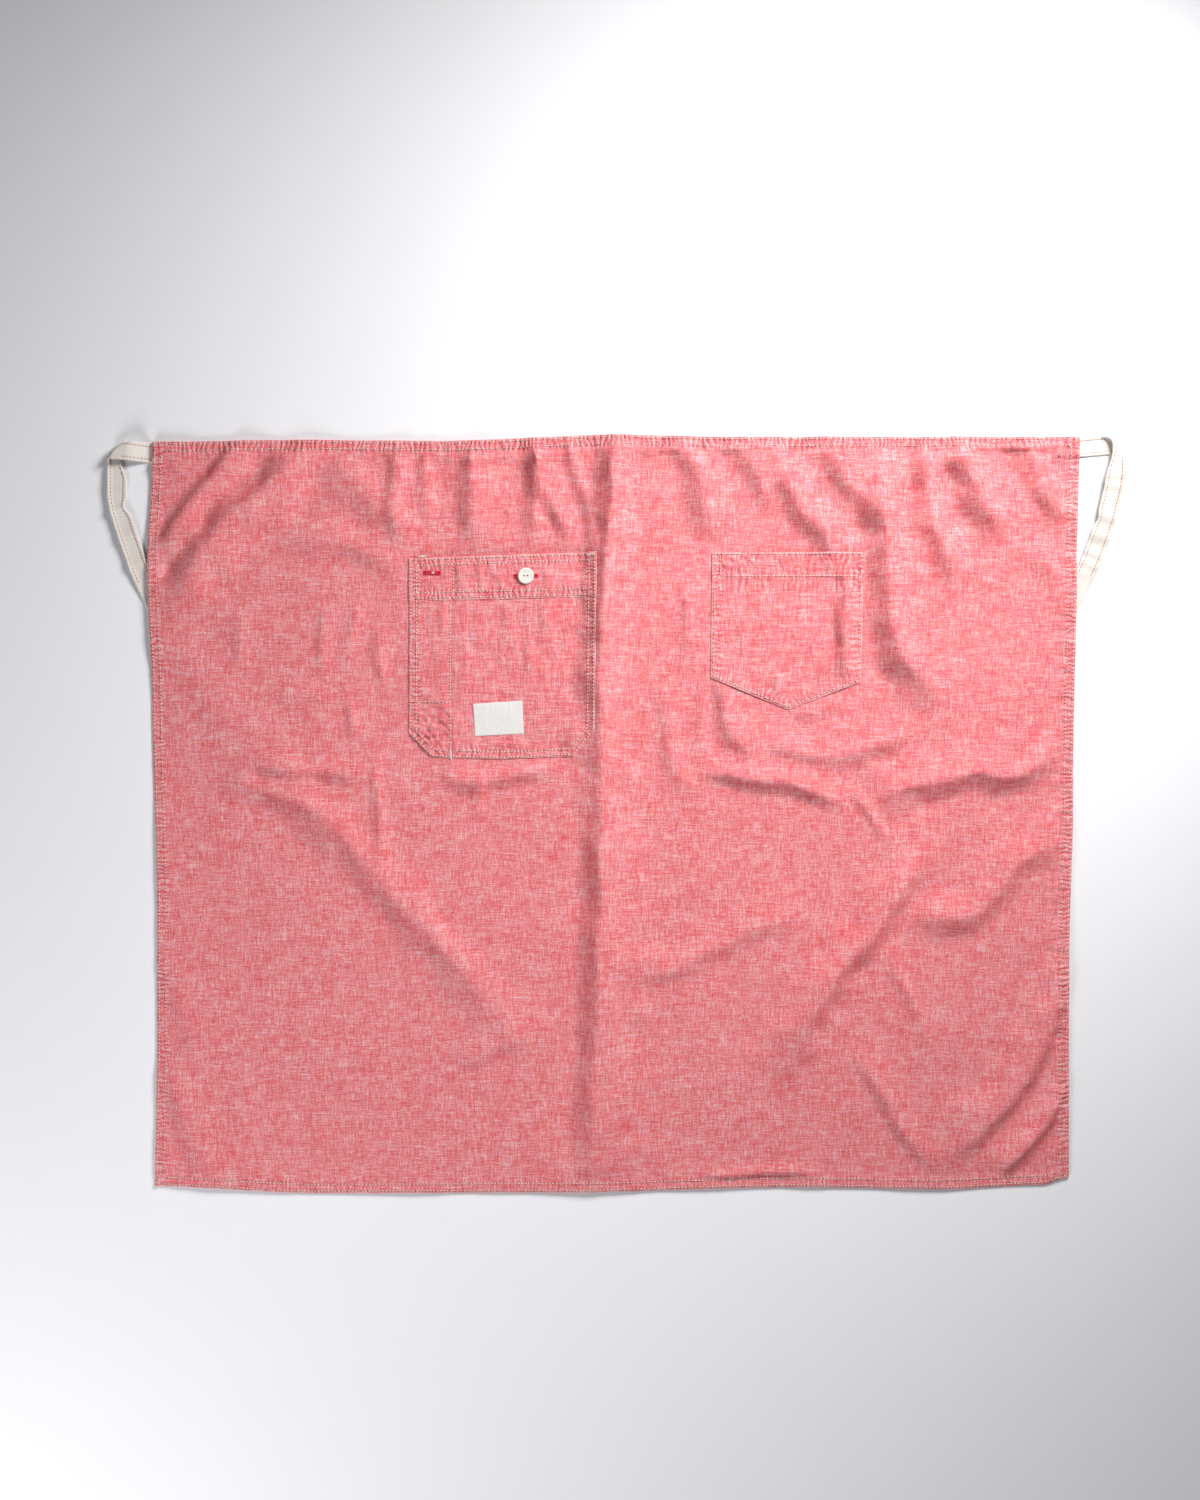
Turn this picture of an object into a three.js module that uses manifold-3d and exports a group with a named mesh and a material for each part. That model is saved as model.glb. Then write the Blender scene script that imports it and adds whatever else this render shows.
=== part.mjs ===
// Long waist apron of red chambray, lying flat with its front up and its ties tucked under it.
// Millimetres. +X runs along the waist to the right, +Y from the lower hem to the waist, +Z up.
// The origin lies on the floor, under the middle of the apron's outline.

import * as THREE from 'three';
import { mergeVertices } from 'three/addons/utils/BufferGeometryUtils.js';
import Module from 'manifold-3d';

const wasm = await Module();
wasm.setup();

// Cloth, hems and seams
const CLOTH = 1;
const HEM_DEPTH = 10;
const HEM_EXTRA = 1;
const HEM_STEP = 1.5;
const HEM_MARKS = 2;
const SEAM_GAP = 0.3;

// The panel's edges as it lies. A row says where along the edge it is, and how far out the edge runs.
const LEFT_EDGE = [
  { at: -361, out: -447 },
  { at: -229, out: -445 },
  { at: -84, out: -445 },
  { at: 111, out: -450 },
  { at: 247, out: -454 },
  { at: 362, out: -449 },
];
const RIGHT_EDGE = [
  { at: -353, out: 441 },
  { at: -156, out: 441 },
  { at: 14, out: 445 },
  { at: 218, out: 448 },
  { at: 366, out: 451 },
];
const WAIST_EDGE = [
  { at: -449, out: 361.5 },
  { at: -306, out: 363.5 },
  { at: -170, out: 362.5 },
  { at: 5, out: 368.5 },
  { at: 102, out: 366.5 },
  { at: 451, out: 366.5 },
];
const FOOT_EDGE = [
  { at: -447, out: -361.5 },
  { at: -287, out: -368.5 },
  { at: -54, out: -367.5 },
  { at: 180, out: -362.5 },
  { at: 316, out: -364.5 },
  { at: 413, out: -360.5 },
  { at: 441, out: -353 },
];

// Facets of the cloth between the hems, along the waist and up the panel
const PANEL_COLUMNS = 46;
const PANEL_ROWS = 36;

// Folds of the lying cloth. A row has the crest's path, its rise, and how far the cloth slopes down to
// the left and to the right of that path. A crest is round where sharp is 0, and pressed where it is 1.
const FOLDS = [
  { name: 'centre crease above', crest: [[2, 520], [0, 372], [-9, 240], [-14, 110], [-15, -20]],
    rise: 10.5, left: 26, right: 30, sharp: 0.5 },
  { name: 'centre crease below', crest: [[-14, 100], [-17, -40], [-22, -210], [-28, -420]],
    rise: 12, left: 60, right: 24, sharp: 0.4 },
  { name: 'cross crease, far right', crest: [[236, 8], [290, 27], [350, 40], [392, 39], [450, 80]],
    rise: 7.5, left: 36, right: 22, sharp: 0.3 },
  { name: 'cross crease, right', crest: [[66, 41], [130, 35], [178, 27], [236, 3]],
    rise: 5.5, left: 28, right: 18, sharp: 0.3 },
  { name: 'cross crease, left', crest: [[-372, 46], [-300, 41], [-222, 36]],
    rise: 4.2, left: 22, right: 18, sharp: 0.2 },
  { name: 'cross crease, mid left', crest: [[-178, 42], [-140, 31], [-100, 37], [-45, 47]],
    rise: 4.7, left: 20, right: 18, sharp: 0.2 },
  { name: 'left corner, outer', crest: [[-341, 398], [-366, 366], [-404, 317], [-456, 244]],
    rise: 8.8, left: 30, right: 18, sharp: 0.2 },
  { name: 'left corner, inner', crest: [[-275, 398], [-340, 316], [-379, 285], [-410, 242], [-436, 180]],
    rise: 11, left: 40, right: 20, sharp: 0.2 },
  { name: 'left shelf', crest: [[-330, 262], [-275, 264], [-195, 238]],
    rise: 4.7, left: 34, right: 18, sharp: 0.1 },
  { name: 'left slope', crest: [[-315, 398], [-268, 334], [-214, 284], [-176, 274]],
    rise: 4.7, left: 24, right: 24, sharp: 0 },
  { name: 'gather 1', crest: [[-211, 398], [-214, 300], [-210, 245]],
    rise: 5.2, left: 22, right: 18, sharp: 0.1 },
  { name: 'gather 2', crest: [[-183, 398], [-185, 320], [-182, 270]],
    rise: 3.8, left: 18, right: 18, sharp: 0 },
  { name: 'gather 3', crest: [[-137, 398], [-139, 300], [-136, 250]],
    rise: 6.2, left: 30, right: 18, sharp: 0.1 },
  { name: 'gather 4', crest: [[-80, 398], [-76, 320], [-76, 248]],
    rise: 5.2, left: 18, right: 18, sharp: 0.1 },
  { name: 'gather 5', crest: [[-94, 398], [-64, 312], [-28, 254]],
    rise: 6.2, left: 20, right: 18, sharp: 0.1 },
  { name: 'gather 6', crest: [[-56, 398], [-29, 302], [-16, 240]],
    rise: 3.5, left: 18, right: 18, sharp: 0.1 },
  { name: 'gather 7', crest: [[44, 398], [82, 330], [91, 258]],
    rise: 5.8, left: 26, right: 18, sharp: 0.1 },
  { name: 'gather 8', crest: [[103, 398], [143, 325], [147, 285]],
    rise: 5.8, left: 22, right: 22, sharp: 0.1 },
  { name: 'gather 9', crest: [[131, 398], [182, 298], [224, 225]],
    rise: 6.2, left: 30, right: 18, sharp: 0.1 },
  { name: 'gather 10', crest: [[189, 398], [224, 328], [264, 270]],
    rise: 6.5, left: 24, right: 20, sharp: 0.1 },
  { name: 'gather 11', crest: [[249, 398], [264, 250], [276, 155], [316, 116]],
    rise: 10.8, left: 40, right: 26, sharp: 0.2 },
  { name: 'gather 12', crest: [[298, 398], [303, 325], [340, 205]],
    rise: 7.8, left: 28, right: 18, sharp: 0.1 },
  { name: 'gather 13', crest: [[322, 398], [347, 330], [364, 294], [396, 264]],
    rise: 12, left: 34, right: 35, sharp: 0.2 },
  { name: 'gather 14', crest: [[385, 398], [412, 325], [454, 272]],
    rise: 6.2, left: 20, right: 18, sharp: 0.1 },
  { name: 'right edge', crest: [[392, 268], [424, 238], [434, 180]],
    rise: 4.8, left: 20, right: 24, sharp: 0 },
  { name: 'patch side', crest: [[224, 256], [224, 190], [227, 120]],
    rise: 4, left: 18, right: 18, sharp: 0.1 },
  { name: 'under patch, steep', crest: [[100, 150], [106, 100], [118, 72], [152, 44]],
    rise: 5.2, left: 32, right: 18, sharp: 0 },
  { name: 'under patch, flat', crest: [[118, 72], [200, 56], [245, 62], [320, 92]],
    rise: 4.4, left: 26, right: 18, sharp: 0.1 },
  { name: 'beside patch', crest: [[70, 242], [52, 110], [60, 42], [82, 10]],
    rise: 3, left: 18, right: 18, sharp: 0 },
  { name: 'low sweep', crest: [[-10, -168], [60, -149], [125, -115], [200, -91]],
    rise: 4.4, left: 34, right: 20, sharp: 0.2 },
  { name: 'right bay', crest: [[462, -24], [404, -38], [372, -74], [340, -98], [262, -106]],
    rise: 6.4, left: 22, right: 40, sharp: 0.1 },
  { name: 'over the right tie', crest: [[324, -16], [271, -83], [201, -178], [162, -264]],
    rise: 3, left: 18, right: 36, sharp: 0 },
  { name: 'right corner, inner', crest: [[446, -134], [421, -218], [390, -272], [340, -309]],
    rise: 9.2, left: 18, right: 44, sharp: 0.1 },
  { name: 'right corner, outer', crest: [[446, -250], [422, -294], [400, -322], [366, -361]],
    rise: 8, left: 18, right: 26, sharp: 0.2 },
  { name: 'right foot', crest: [[226, -220], [262, -274], [318, -360]],
    rise: 4.7, left: 24, right: 18, sharp: 0.1 },
  { name: 'left low shelf', crest: [[-392, 40], [-325, 18], [-262, 0]],
    rise: 4.2, left: 20, right: 20, sharp: 0 },
  { name: 'over the left tie', crest: [[-350, 40], [-272, -14], [-194, -98], [-86, -224]],
    rise: 2, left: 28, right: 30, sharp: 0 },
  { name: 'left hem', crest: [[-446, -120], [-424, -185], [-396, -250]],
    rise: 2.5, left: 24, right: 18, sharp: 0 },
  { name: 'left foot', crest: [[-442, -225], [-416, -300], [-376, -372]],
    rise: 5.2, left: 34, right: 20, sharp: 0 },
  { name: 'tie end', crest: [[-84, -206], [-118, -228], [-158, -244]],
    rise: 3.4, left: 18, right: 24, sharp: 0 },
];
const FOLD_SAMPLES = 24;
const FOLD_FADE = 0.3;
const LEAST_REACH = 18;

// How low the folds are at the hems, and where they start to rise from them and over what distance
const HEM_SETTLE = 0.35;
const HEM_SETTLE_FROM = 4;
const HEM_SETTLE_REACH = 22;

// Left pocket: its corners from the mouth's left end, round by the right, and the band at its mouth
const WORK_POCKET = [[-200, 248], [-18, 254], [-19.5, 81], [-40, 56], [-112, 53], [-178, 55], [-200.5, 78]];
const WORK_BAND = [[-200.2, 248.2], [-17.8, 254.2], [-18, 210.5], [-200.4, 206.5]];
const LABEL = [[-138, 107], [-90, 110], [-88.5, 78], [-136, 75.5]];

// Right pocket: its corners from the mouth's left end, and the depth of the hem at its mouth
const PATCH_POCKET = [[94, 254], [242, 254], [239, 128], [168, 101], [92.5, 132]];
const PATCH_HEM_DEPTH = 26;

// How far a pocket's cloth stands off the panel, and how far in from its seams it takes to get there
const POCKET_PUFF = 2.2;
const POCKET_PUFF_REACH = 55;

// Buttonholes: the pen slot's is empty, and the button goes through the other
const BUTTONHOLES = [
  { at: [-177.5, 234], length: 14, width: 1.4 },
  { at: [-86.5, 231], length: 18, width: 2.4 },
];
const BUTTON_RADIUS = 7.8;
const BUTTON_THICKNESS = 2.8;
const BUTTON_DISH_RADIUS = 5;
const BUTTON_DISH_DEPTH = 0.8;
const BUTTON_EDGE = 0.7;
const BUTTON_HOLE_RADIUS = 0.9;
const BUTTON_HOLE_OFFSET = 1.7;
const BUTTON_SHANK_RADIUS = 0.8;
const BUTTON_SIDES = 20;
const HOLE_SIDES = 8;

// Waist ties: a cotton tape that leaves the waist's end, folds under itself in a soft roll along a
// slant, and runs back under the panel. The route is the tape's middle line after that fold.
const TAPE_WIDTH = 19;
const TAPE_THICKNESS = 1.2;
const TAPE_COLUMNS = 3;
const TAPE_SEWN = 24;
const ROLL_RADIUS = 3.4;
const ROLL_LIFT = 1.6;
const ROLL_START = 1;
const ROLL_ZONE = 20;
const ROLL_STEP = 4;
const SHOWN_STEP = 14;
const HIDDEN_STEP = 36;
const TIES = [
  { name: 'waist_tie_left', fold: [-483, 353], from: [-450, 350.5], landing: 150,
    route: [[-483.5, 325], [-482, 300], [-468.5, 257], [-450, 212], [-400, 126], [-282, -2], [-92, -214]] },
  { name: 'waist_tie_right', fold: [485, 359], from: [451, 356], landing: 150,
    route: [[485, 335], [482, 312], [471, 271], [449, 218], [390, 106], [292, -33], [166, -234]] },
];
const TIE_CREST = { rise: 4, left: 34, right: 34, sharp: 0, fade: 0.05 };
const TIE_OVERRUN = 36;
const SEWN_CREST = { rise: 2.2, left: 40, right: 40, sharp: 0, fade: 0.3 };

const smooth = (t) => THREE.MathUtils.smoothstep(t, 0, 1);
const lerp = THREE.MathUtils.lerp;
const vector = ([x, y]) => new THREE.Vector2(x, y);

// How far out an edge runs at a place along it
function edgeOut(edge, at) {
  let k = 0;
  while (k < edge.length - 2 && at > edge[k + 1].at) {
    k += 1;
  }
  const t = (at - edge[k].at) / (edge[k + 1].at - edge[k].at);
  return lerp(edge[k].out, edge[k + 1].out, smooth(t));
}

// A crest's path as short straight runs
function crestPath(points, samples) {
  return new THREE.SplineCurve(points.map(vector)).getSpacedPoints(samples);
}

// The cloth's height at a place, from one crest
function crestHeight(path, row, x, y) {
  const here = new THREE.Vector2(x, y);
  const run = new THREE.Vector2();
  const off = new THREE.Vector2();
  let nearest = Infinity;
  let side = 0;
  let along = 0;
  for (let k = 0; k < path.length - 1; k += 1) {
    run.subVectors(path[k + 1], path[k]);
    const t = THREE.MathUtils.clamp(off.subVectors(here, path[k]).dot(run) / run.lengthSq(), 0, 1);
    off.addScaledVector(run, -t);
    if (off.length() < nearest) {
      nearest = off.length();
      side = run.cross(off);
      along = (k + t) / (path.length - 1);
    }
  }
  const reach = Math.max(side > 0 ? row.left : row.right, LEAST_REACH);
  if (nearest >= reach) {
    return 0;
  }
  const s = nearest / reach;
  const profile = (1 - s) ** 2 * (1 + 2 * s * (1 - row.sharp));
  return row.rise * profile * smooth(along / row.fade) * smooth((1 - along) / row.fade);
}

// The ties' own crests: where a tape lies under the panel, and where its end is sewn under the corner
function tieCrests(tie) {
  const last = vector(tie.route.at(-1));
  const beyond = last.clone().sub(vector(tie.route.at(-2))).setLength(TIE_OVERRUN).add(last);
  const fold = vector(tie.fold);
  const inward = vector(tie.from).sub(fold).setLength(fold.distanceTo(vector(tie.from)) + 2 * TAPE_SEWN);
  return [
    { ...TIE_CREST, path: crestPath([...tie.route, beyond.toArray()], 2 * FOLD_SAMPLES) },
    { ...SEWN_CREST, path: crestPath([tie.fold, fold.clone().add(inward).toArray()], FOLD_SAMPLES) },
  ];
}

const FOLD_CRESTS = FOLDS.map((row) => (
  { ...row, fade: FOLD_FADE, path: crestPath(row.crest, FOLD_SAMPLES) }
));
const TIE_CRESTS = TIES.flatMap(tieCrests);

function crestsHeight(crests, x, y) {
  return crests.reduce((sum, crest) => sum + crestHeight(crest.path, crest, x, y), 0);
}

// Height of the panel's underside: its folds, which settle towards the hems, and the ties under it
function clothUnder(x, y) {
  const rim = Math.min(
    x - edgeOut(LEFT_EDGE, y), edgeOut(RIGHT_EDGE, y) - x,
    y - edgeOut(FOOT_EDGE, x), edgeOut(WAIST_EDGE, x) - y);
  const settled = lerp(HEM_SETTLE, 1, smooth((rim - HEM_SETTLE_FROM) / HEM_SETTLE_REACH));
  return settled * crestsHeight(FOLD_CRESTS, x, y) + crestsHeight(TIE_CRESTS, x, y);
}

// Marks across the panel from 0 to 1: a hem, the step down from it, even facets, and the same again
function panelMarks(span, facets) {
  const hem = HEM_DEPTH / span;
  const inner = (HEM_DEPTH + HEM_STEP) / span;
  const middle = Array.from({ length: facets + 1 }, (_, k) => lerp(inner, 1 - inner, k / facets));
  return [0, hem, ...middle, 1 - hem, 1];
}

// The grid that all the cloth follows: for each crossing its place, and the panel's underside and top
function panelGrid() {
  const left = LEFT_EDGE[0].out;
  const right = RIGHT_EDGE[0].out;
  const foot = FOOT_EDGE[0].out;
  const waist = WAIST_EDGE[0].out;
  const columns = panelMarks(right - left, PANEL_COLUMNS);
  const rows = panelMarks(waist - foot, PANEL_ROWS);
  return columns.map((u, i) => rows.map((v, j) => {
    const level = lerp(foot, waist, v);
    const x = lerp(edgeOut(LEFT_EDGE, level), edgeOut(RIGHT_EDGE, level), u);
    const y = lerp(edgeOut(FOOT_EDGE, x), edgeOut(WAIST_EDGE, x), v);
    const under = clothUnder(x, y);
    const inSideHem = i < HEM_MARKS || i >= columns.length - HEM_MARKS;
    const inEndHem = j < HEM_MARKS || j >= rows.length - HEM_MARKS;
    const inHem = inSideHem || inEndHem;
    return { x, y, under, top: under + CLOTH + (inHem ? HEM_EXTRA : 0) };
  }));
}

const GRID = panelGrid();

// A closed slab between two sheets of points that share their rows and columns
function slabGeometry(lower, upper) {
  const columns = lower.length;
  const rows = lower[0].length;
  const position = [...lower.flat(), ...upper.flat()].flatMap((p) => [p.x, p.y, p.z]);
  const index = [];
  const low = (i, j) => i * rows + j;
  const high = (i, j) => columns * rows + low(i, j);
  const quad = (a, b, c, d) => index.push(a, b, c, a, c, d);
  for (let i = 0; i < columns - 1; i += 1) {
    for (let j = 0; j < rows - 1; j += 1) {
      quad(high(i, j), high(i + 1, j), high(i + 1, j + 1), high(i, j + 1));
      index.push(low(i, j), low(i + 1, j + 1), low(i + 1, j));
      index.push(low(i, j), low(i, j + 1), low(i + 1, j + 1));
    }
    quad(low(i, 0), low(i + 1, 0), high(i + 1, 0), high(i, 0));
    quad(low(i + 1, rows - 1), low(i, rows - 1), high(i, rows - 1), high(i + 1, rows - 1));
  }
  for (let j = 0; j < rows - 1; j += 1) {
    quad(low(0, j + 1), low(0, j), high(0, j), high(0, j + 1));
    quad(low(columns - 1, j), low(columns - 1, j + 1), high(columns - 1, j + 1), high(columns - 1, j));
  }
  const geometry = new THREE.BufferGeometry();
  geometry.setAttribute('position', new THREE.Float32BufferAttribute(position, 3));
  geometry.setIndex(index);
  return geometry;
}

// Between a three.js geometry and a solid that can be joined and cut
function solidOf(geometry) {
  const bare = new THREE.BufferGeometry();
  bare.setAttribute('position', geometry.getAttribute('position'));
  bare.setIndex(geometry.index);
  const merged = mergeVertices(bare);
  const vertProperties = merged.getAttribute('position').array;
  const triVerts = new Uint32Array(merged.index.array);
  return new wasm.Manifold(new wasm.Mesh({ numProp: 3, vertProperties, triVerts }));
}

function geometryOf(solid) {
  const mesh = solid.getMesh();
  const geometry = new THREE.BufferGeometry();
  geometry.setAttribute('position', new THREE.Float32BufferAttribute(mesh.vertProperties, 3));
  geometry.setIndex(Array.from(mesh.triVerts));
  return geometry;
}

// A sheet of cloth over the panel, cut to an outline. Its two faces are heights over the grid.
const PRISM_DEPTH = 60;
function cutCloth(outline, lowerAt, upperAt) {
  const box = new THREE.Box2().setFromPoints(outline.map(vector));
  const inColumn = (column) => column[0].x;
  const first = GRID.findLastIndex((column) => inColumn(column) < box.min.x) - 1;
  const last = GRID.findIndex((column) => inColumn(column) > box.max.x) + 1;
  const low = GRID[first].findLastIndex((p) => p.y < box.min.y) - 1;
  const high = GRID[first].findIndex((p) => p.y > box.max.y) + 1;
  const part = GRID.slice(first, last + 1).map((column) => column.slice(low, high + 1));
  const sheet = (at) => part.map((column) => column.map((p) => ({ x: p.x, y: p.y, z: at(p) })));
  const shape = new THREE.Shape(outline.map(vector));
  const prism = new THREE.ExtrudeGeometry(shape, { depth: PRISM_DEPTH, bevelEnabled: false });
  return solidOf(slabGeometry(sheet(lowerAt), sheet(upperAt))).intersect(solidOf(prism));
}

// How far a pocket stands off the panel: nothing at its side and foot seams, more at its middle and mouth
function pocketPuff(outline, p) {
  const box = new THREE.Box2().setFromPoints(outline.map(vector));
  const fromSide = Math.min(p.x - box.min.x, box.max.x - p.x, p.y - box.min.y);
  return POCKET_PUFF * smooth(fromSide / POCKET_PUFF_REACH);
}

const workLower = (p) => p.top + SEAM_GAP + pocketPuff(WORK_POCKET, p);
const workUpper = (p) => workLower(p) + CLOTH;
const bandLower = (p) => workUpper(p) + SEAM_GAP;
const bandUpper = (p) => bandLower(p) + CLOTH;
const patchLower = (p) => p.top + SEAM_GAP + pocketPuff(PATCH_POCKET, p);
const patchUpper = (p) => patchLower(p) + CLOTH;

function buttonholeCuts() {
  return BUTTONHOLES.map((hole) => {
    const cut = new THREE.BoxGeometry(hole.length, hole.width, 2 * PRISM_DEPTH);
    cut.translate(hole.at[0], hole.at[1], 0);
    return solidOf(cut);
  });
}

function cutButtonholes(cloth) {
  return buttonholeCuts().reduce((solid, cut) => solid.subtract(cut), cloth);
}

function patchPocketSolid() {
  const [mouthLeft, mouthRight] = PATCH_POCKET;
  const hemLeft = [mouthLeft[0], mouthLeft[1] - PATCH_HEM_DEPTH];
  const hemRight = [mouthRight[0] - HEM_EXTRA, mouthRight[1] - PATCH_HEM_DEPTH];
  const hem = [mouthLeft, mouthRight, hemRight, hemLeft];
  const hemUpper = (p) => patchUpper(p) + HEM_EXTRA;
  return cutCloth(PATCH_POCKET, patchLower, patchUpper).add(cutCloth(hem, patchLower, hemUpper));
}

// The highest place of a mesh under some points
function highestUnder(mesh, points) {
  const down = new THREE.Vector3(0, 0, -1);
  const heights = points.map(([x, y]) => {
    const ray = new THREE.Raycaster(new THREE.Vector3(x, y, PRISM_DEPTH), down);
    return ray.intersectObject(mesh)[0]?.point.z ?? -Infinity;
  });
  return Math.max(...heights);
}

// The button: a turned disc with a dished face and two holes, on the thread shank that holds it
function buttonSolid(centre, bandMesh, panelMesh) {
  const rim = Array.from({ length: BUTTON_SIDES }, (_, k) => {
    const turn = (k / BUTTON_SIDES) * 2 * Math.PI;
    return [centre[0] + BUTTON_RADIUS * Math.cos(turn), centre[1] + BUTTON_RADIUS * Math.sin(turn)];
  });
  const base = highestUnder(bandMesh, rim) + SEAM_GAP;
  const shankFoot = highestUnder(panelMesh, [centre]) + SEAM_GAP;
  const profile = [
    [0, 0],
    [BUTTON_RADIUS - BUTTON_EDGE, 0],
    [BUTTON_RADIUS, BUTTON_EDGE],
    [BUTTON_RADIUS, BUTTON_THICKNESS - BUTTON_EDGE],
    [BUTTON_RADIUS - BUTTON_EDGE, BUTTON_THICKNESS],
    [BUTTON_DISH_RADIUS, BUTTON_THICKNESS],
    [BUTTON_DISH_RADIUS - BUTTON_EDGE, BUTTON_THICKNESS - BUTTON_DISH_DEPTH],
    [0, BUTTON_THICKNESS - BUTTON_DISH_DEPTH],
  ];
  const disc = new THREE.LatheGeometry(profile.map(vector), BUTTON_SIDES);
  const shankLength = base - shankFoot + BUTTON_EDGE;
  const shank = new THREE.CylinderGeometry(BUTTON_SHANK_RADIUS, BUTTON_SHANK_RADIUS, shankLength, HOLE_SIDES);
  shank.translate(0, BUTTON_EDGE - shankLength / 2, 0);
  const hole = (side) => {
    const drill = new THREE.CylinderGeometry(
      BUTTON_HOLE_RADIUS, BUTTON_HOLE_RADIUS, BUTTON_THICKNESS, HOLE_SIDES);
    return solidOf(drill.translate(side * BUTTON_HOLE_OFFSET, BUTTON_THICKNESS / 2 + BUTTON_EDGE, 0));
  };
  const button = solidOf(disc).add(solidOf(shank)).subtract(hole(-1)).subtract(hole(1));
  return geometryOf(button).rotateX(Math.PI / 2).translate(centre[0], centre[1], base);
}

// A tape's stations along its length, counted from the fold: close at the roll, far apart where hidden
function tapeStations(start, landing, end) {
  const runs = [
    [start, -ROLL_ZONE, SHOWN_STEP],
    [-ROLL_ZONE, ROLL_ZONE, ROLL_STEP],
    [ROLL_ZONE, landing, SHOWN_STEP],
    [landing, end, HIDDEN_STEP],
  ];
  const stations = runs.flatMap(([from, to, step]) => {
    const count = Math.max(1, Math.round((to - from) / step));
    return Array.from({ length: count }, (_, k) => lerp(from, to, k / count));
  });
  return [...stations, end];
}

// A small step along or across a tape, to find which way its face points
const NUDGE = 0.01;

// A tape as a flat strip, wrapped round the roll at its fold and laid along its route
function tieGeometry(tie) {
  const fold = vector(tie.fold);
  const before = fold.clone().sub(vector(tie.from));
  const leaving = before.length();
  before.normalize();
  const route = new THREE.SplineCurve([fold, ...tie.route.map(vector)]);
  const end = route.getLength();
  const outward = before.clone().sub(route.getTangentAt(0)).normalize();
  const halfRoll = (Math.PI * ROLL_RADIUS) / 2;
  const axis = fold.clone().addScaledVector(outward, -halfRoll);
  const across = (direction) => new THREE.Vector2(-direction.y, direction.x);

  // The strip before it is folded: the route is mirrored in the fold's line
  const flatPoint = (u, v) => {
    if (u <= 0) {
      return fold.clone().addScaledVector(before, u).addScaledVector(across(before), v);
    }
    const point = route.getPointAt(u / end).addScaledVector(across(route.getTangentAt(u / end)), -v);
    const past = point.clone().sub(fold).dot(outward);
    return point.addScaledVector(outward, -2 * past);
  };
  const lift = (u) => {
    const rise = smooth((u + leaving - ROLL_START) / (leaving - ROLL_ZONE / 2));
    if (u <= 0) {
      return lerp(-2 * ROLL_RADIUS, ROLL_LIFT, rise);
    }
    return ROLL_LIFT * smooth((tie.landing - u) / (tie.landing - ROLL_ZONE));
  };
  const middle = (u, v) => {
    const flat = flatPoint(u, v);
    const past = flat.clone().sub(axis).dot(outward);
    const turn = THREE.MathUtils.clamp(past / ROLL_RADIUS, 0, Math.PI);
    const beyond = Math.max(0, past - 2 * halfRoll);
    const shift = ROLL_RADIUS * Math.sin(turn) - beyond - Math.max(0, past);
    flat.addScaledVector(outward, shift);
    const z = ROLL_RADIUS * (1 + Math.cos(turn)) + lift(u) + TAPE_THICKNESS / 2;
    return new THREE.Vector3(flat.x, flat.y, z);
  };

  const face = (side) => (u) => Array.from({ length: TAPE_COLUMNS + 1 }, (_, k) => {
    const v = TAPE_WIDTH * (k / TAPE_COLUMNS - 0.5);
    const alongTape = middle(u + NUDGE, v).sub(middle(u - NUDGE, v));
    const acrossTape = middle(u, v + NUDGE).sub(middle(u, v - NUDGE));
    const normal = alongTape.cross(acrossTape).normalize();
    return middle(u, v).addScaledVector(normal, (side * TAPE_THICKNESS) / 2);
  });
  const stations = tapeStations(-leaving - TAPE_SEWN, tie.landing, end - NUDGE);
  return slabGeometry(stations.map(face(-1)), stations.map(face(1)));
}

const chambray = new THREE.MeshStandardMaterial({ color: '#dd7f83', roughness: 0.95, metalness: 0 });
const cottonTape = new THREE.MeshStandardMaterial({ color: '#f0ebe0', roughness: 0.9, metalness: 0 });
const labelCloth = new THREE.MeshStandardMaterial({ color: '#ece8dc', roughness: 0.85, metalness: 0 });
const shell = new THREE.MeshStandardMaterial({ color: '#efe9dd', roughness: 0.35, metalness: 0 });

const apron = new THREE.Group();

function addPiece(name, geometry, material) {
  const mesh = new THREE.Mesh(geometry, material);
  mesh.name = name;
  apron.add(mesh);
  return mesh;
}

const sheetAt = (height) => GRID.map((column) => column.map((p) => ({ x: p.x, y: p.y, z: p[height] })));
const panel = addPiece('apron_panel', slabGeometry(sheetAt('under'), sheetAt('top')), chambray);

const workPocket = cutButtonholes(cutCloth(WORK_POCKET, workLower, workUpper));
addPiece('work_pocket', geometryOf(workPocket), chambray);

const workBand = cutButtonholes(cutCloth(WORK_BAND, bandLower, bandUpper));
const band = addPiece('work_pocket_band', geometryOf(workBand), chambray);

addPiece('label', geometryOf(cutCloth(LABEL, bandLower, bandUpper)), labelCloth);
addPiece('button', buttonSolid(BUTTONHOLES[1].at, band, panel), shell);
addPiece('patch_pocket', geometryOf(patchPocketSolid()), chambray);

for (const tie of TIES) {
  addPiece(tie.name, tieGeometry(tie), cottonTape);
}

export default apron;
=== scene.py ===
"""Looks of a long waist apron of red chambray, lying with its front up on a pale floor.

Lengths in the tables are millimetres in the part's frame. Meshes are made in metres.
"""
import math

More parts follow.
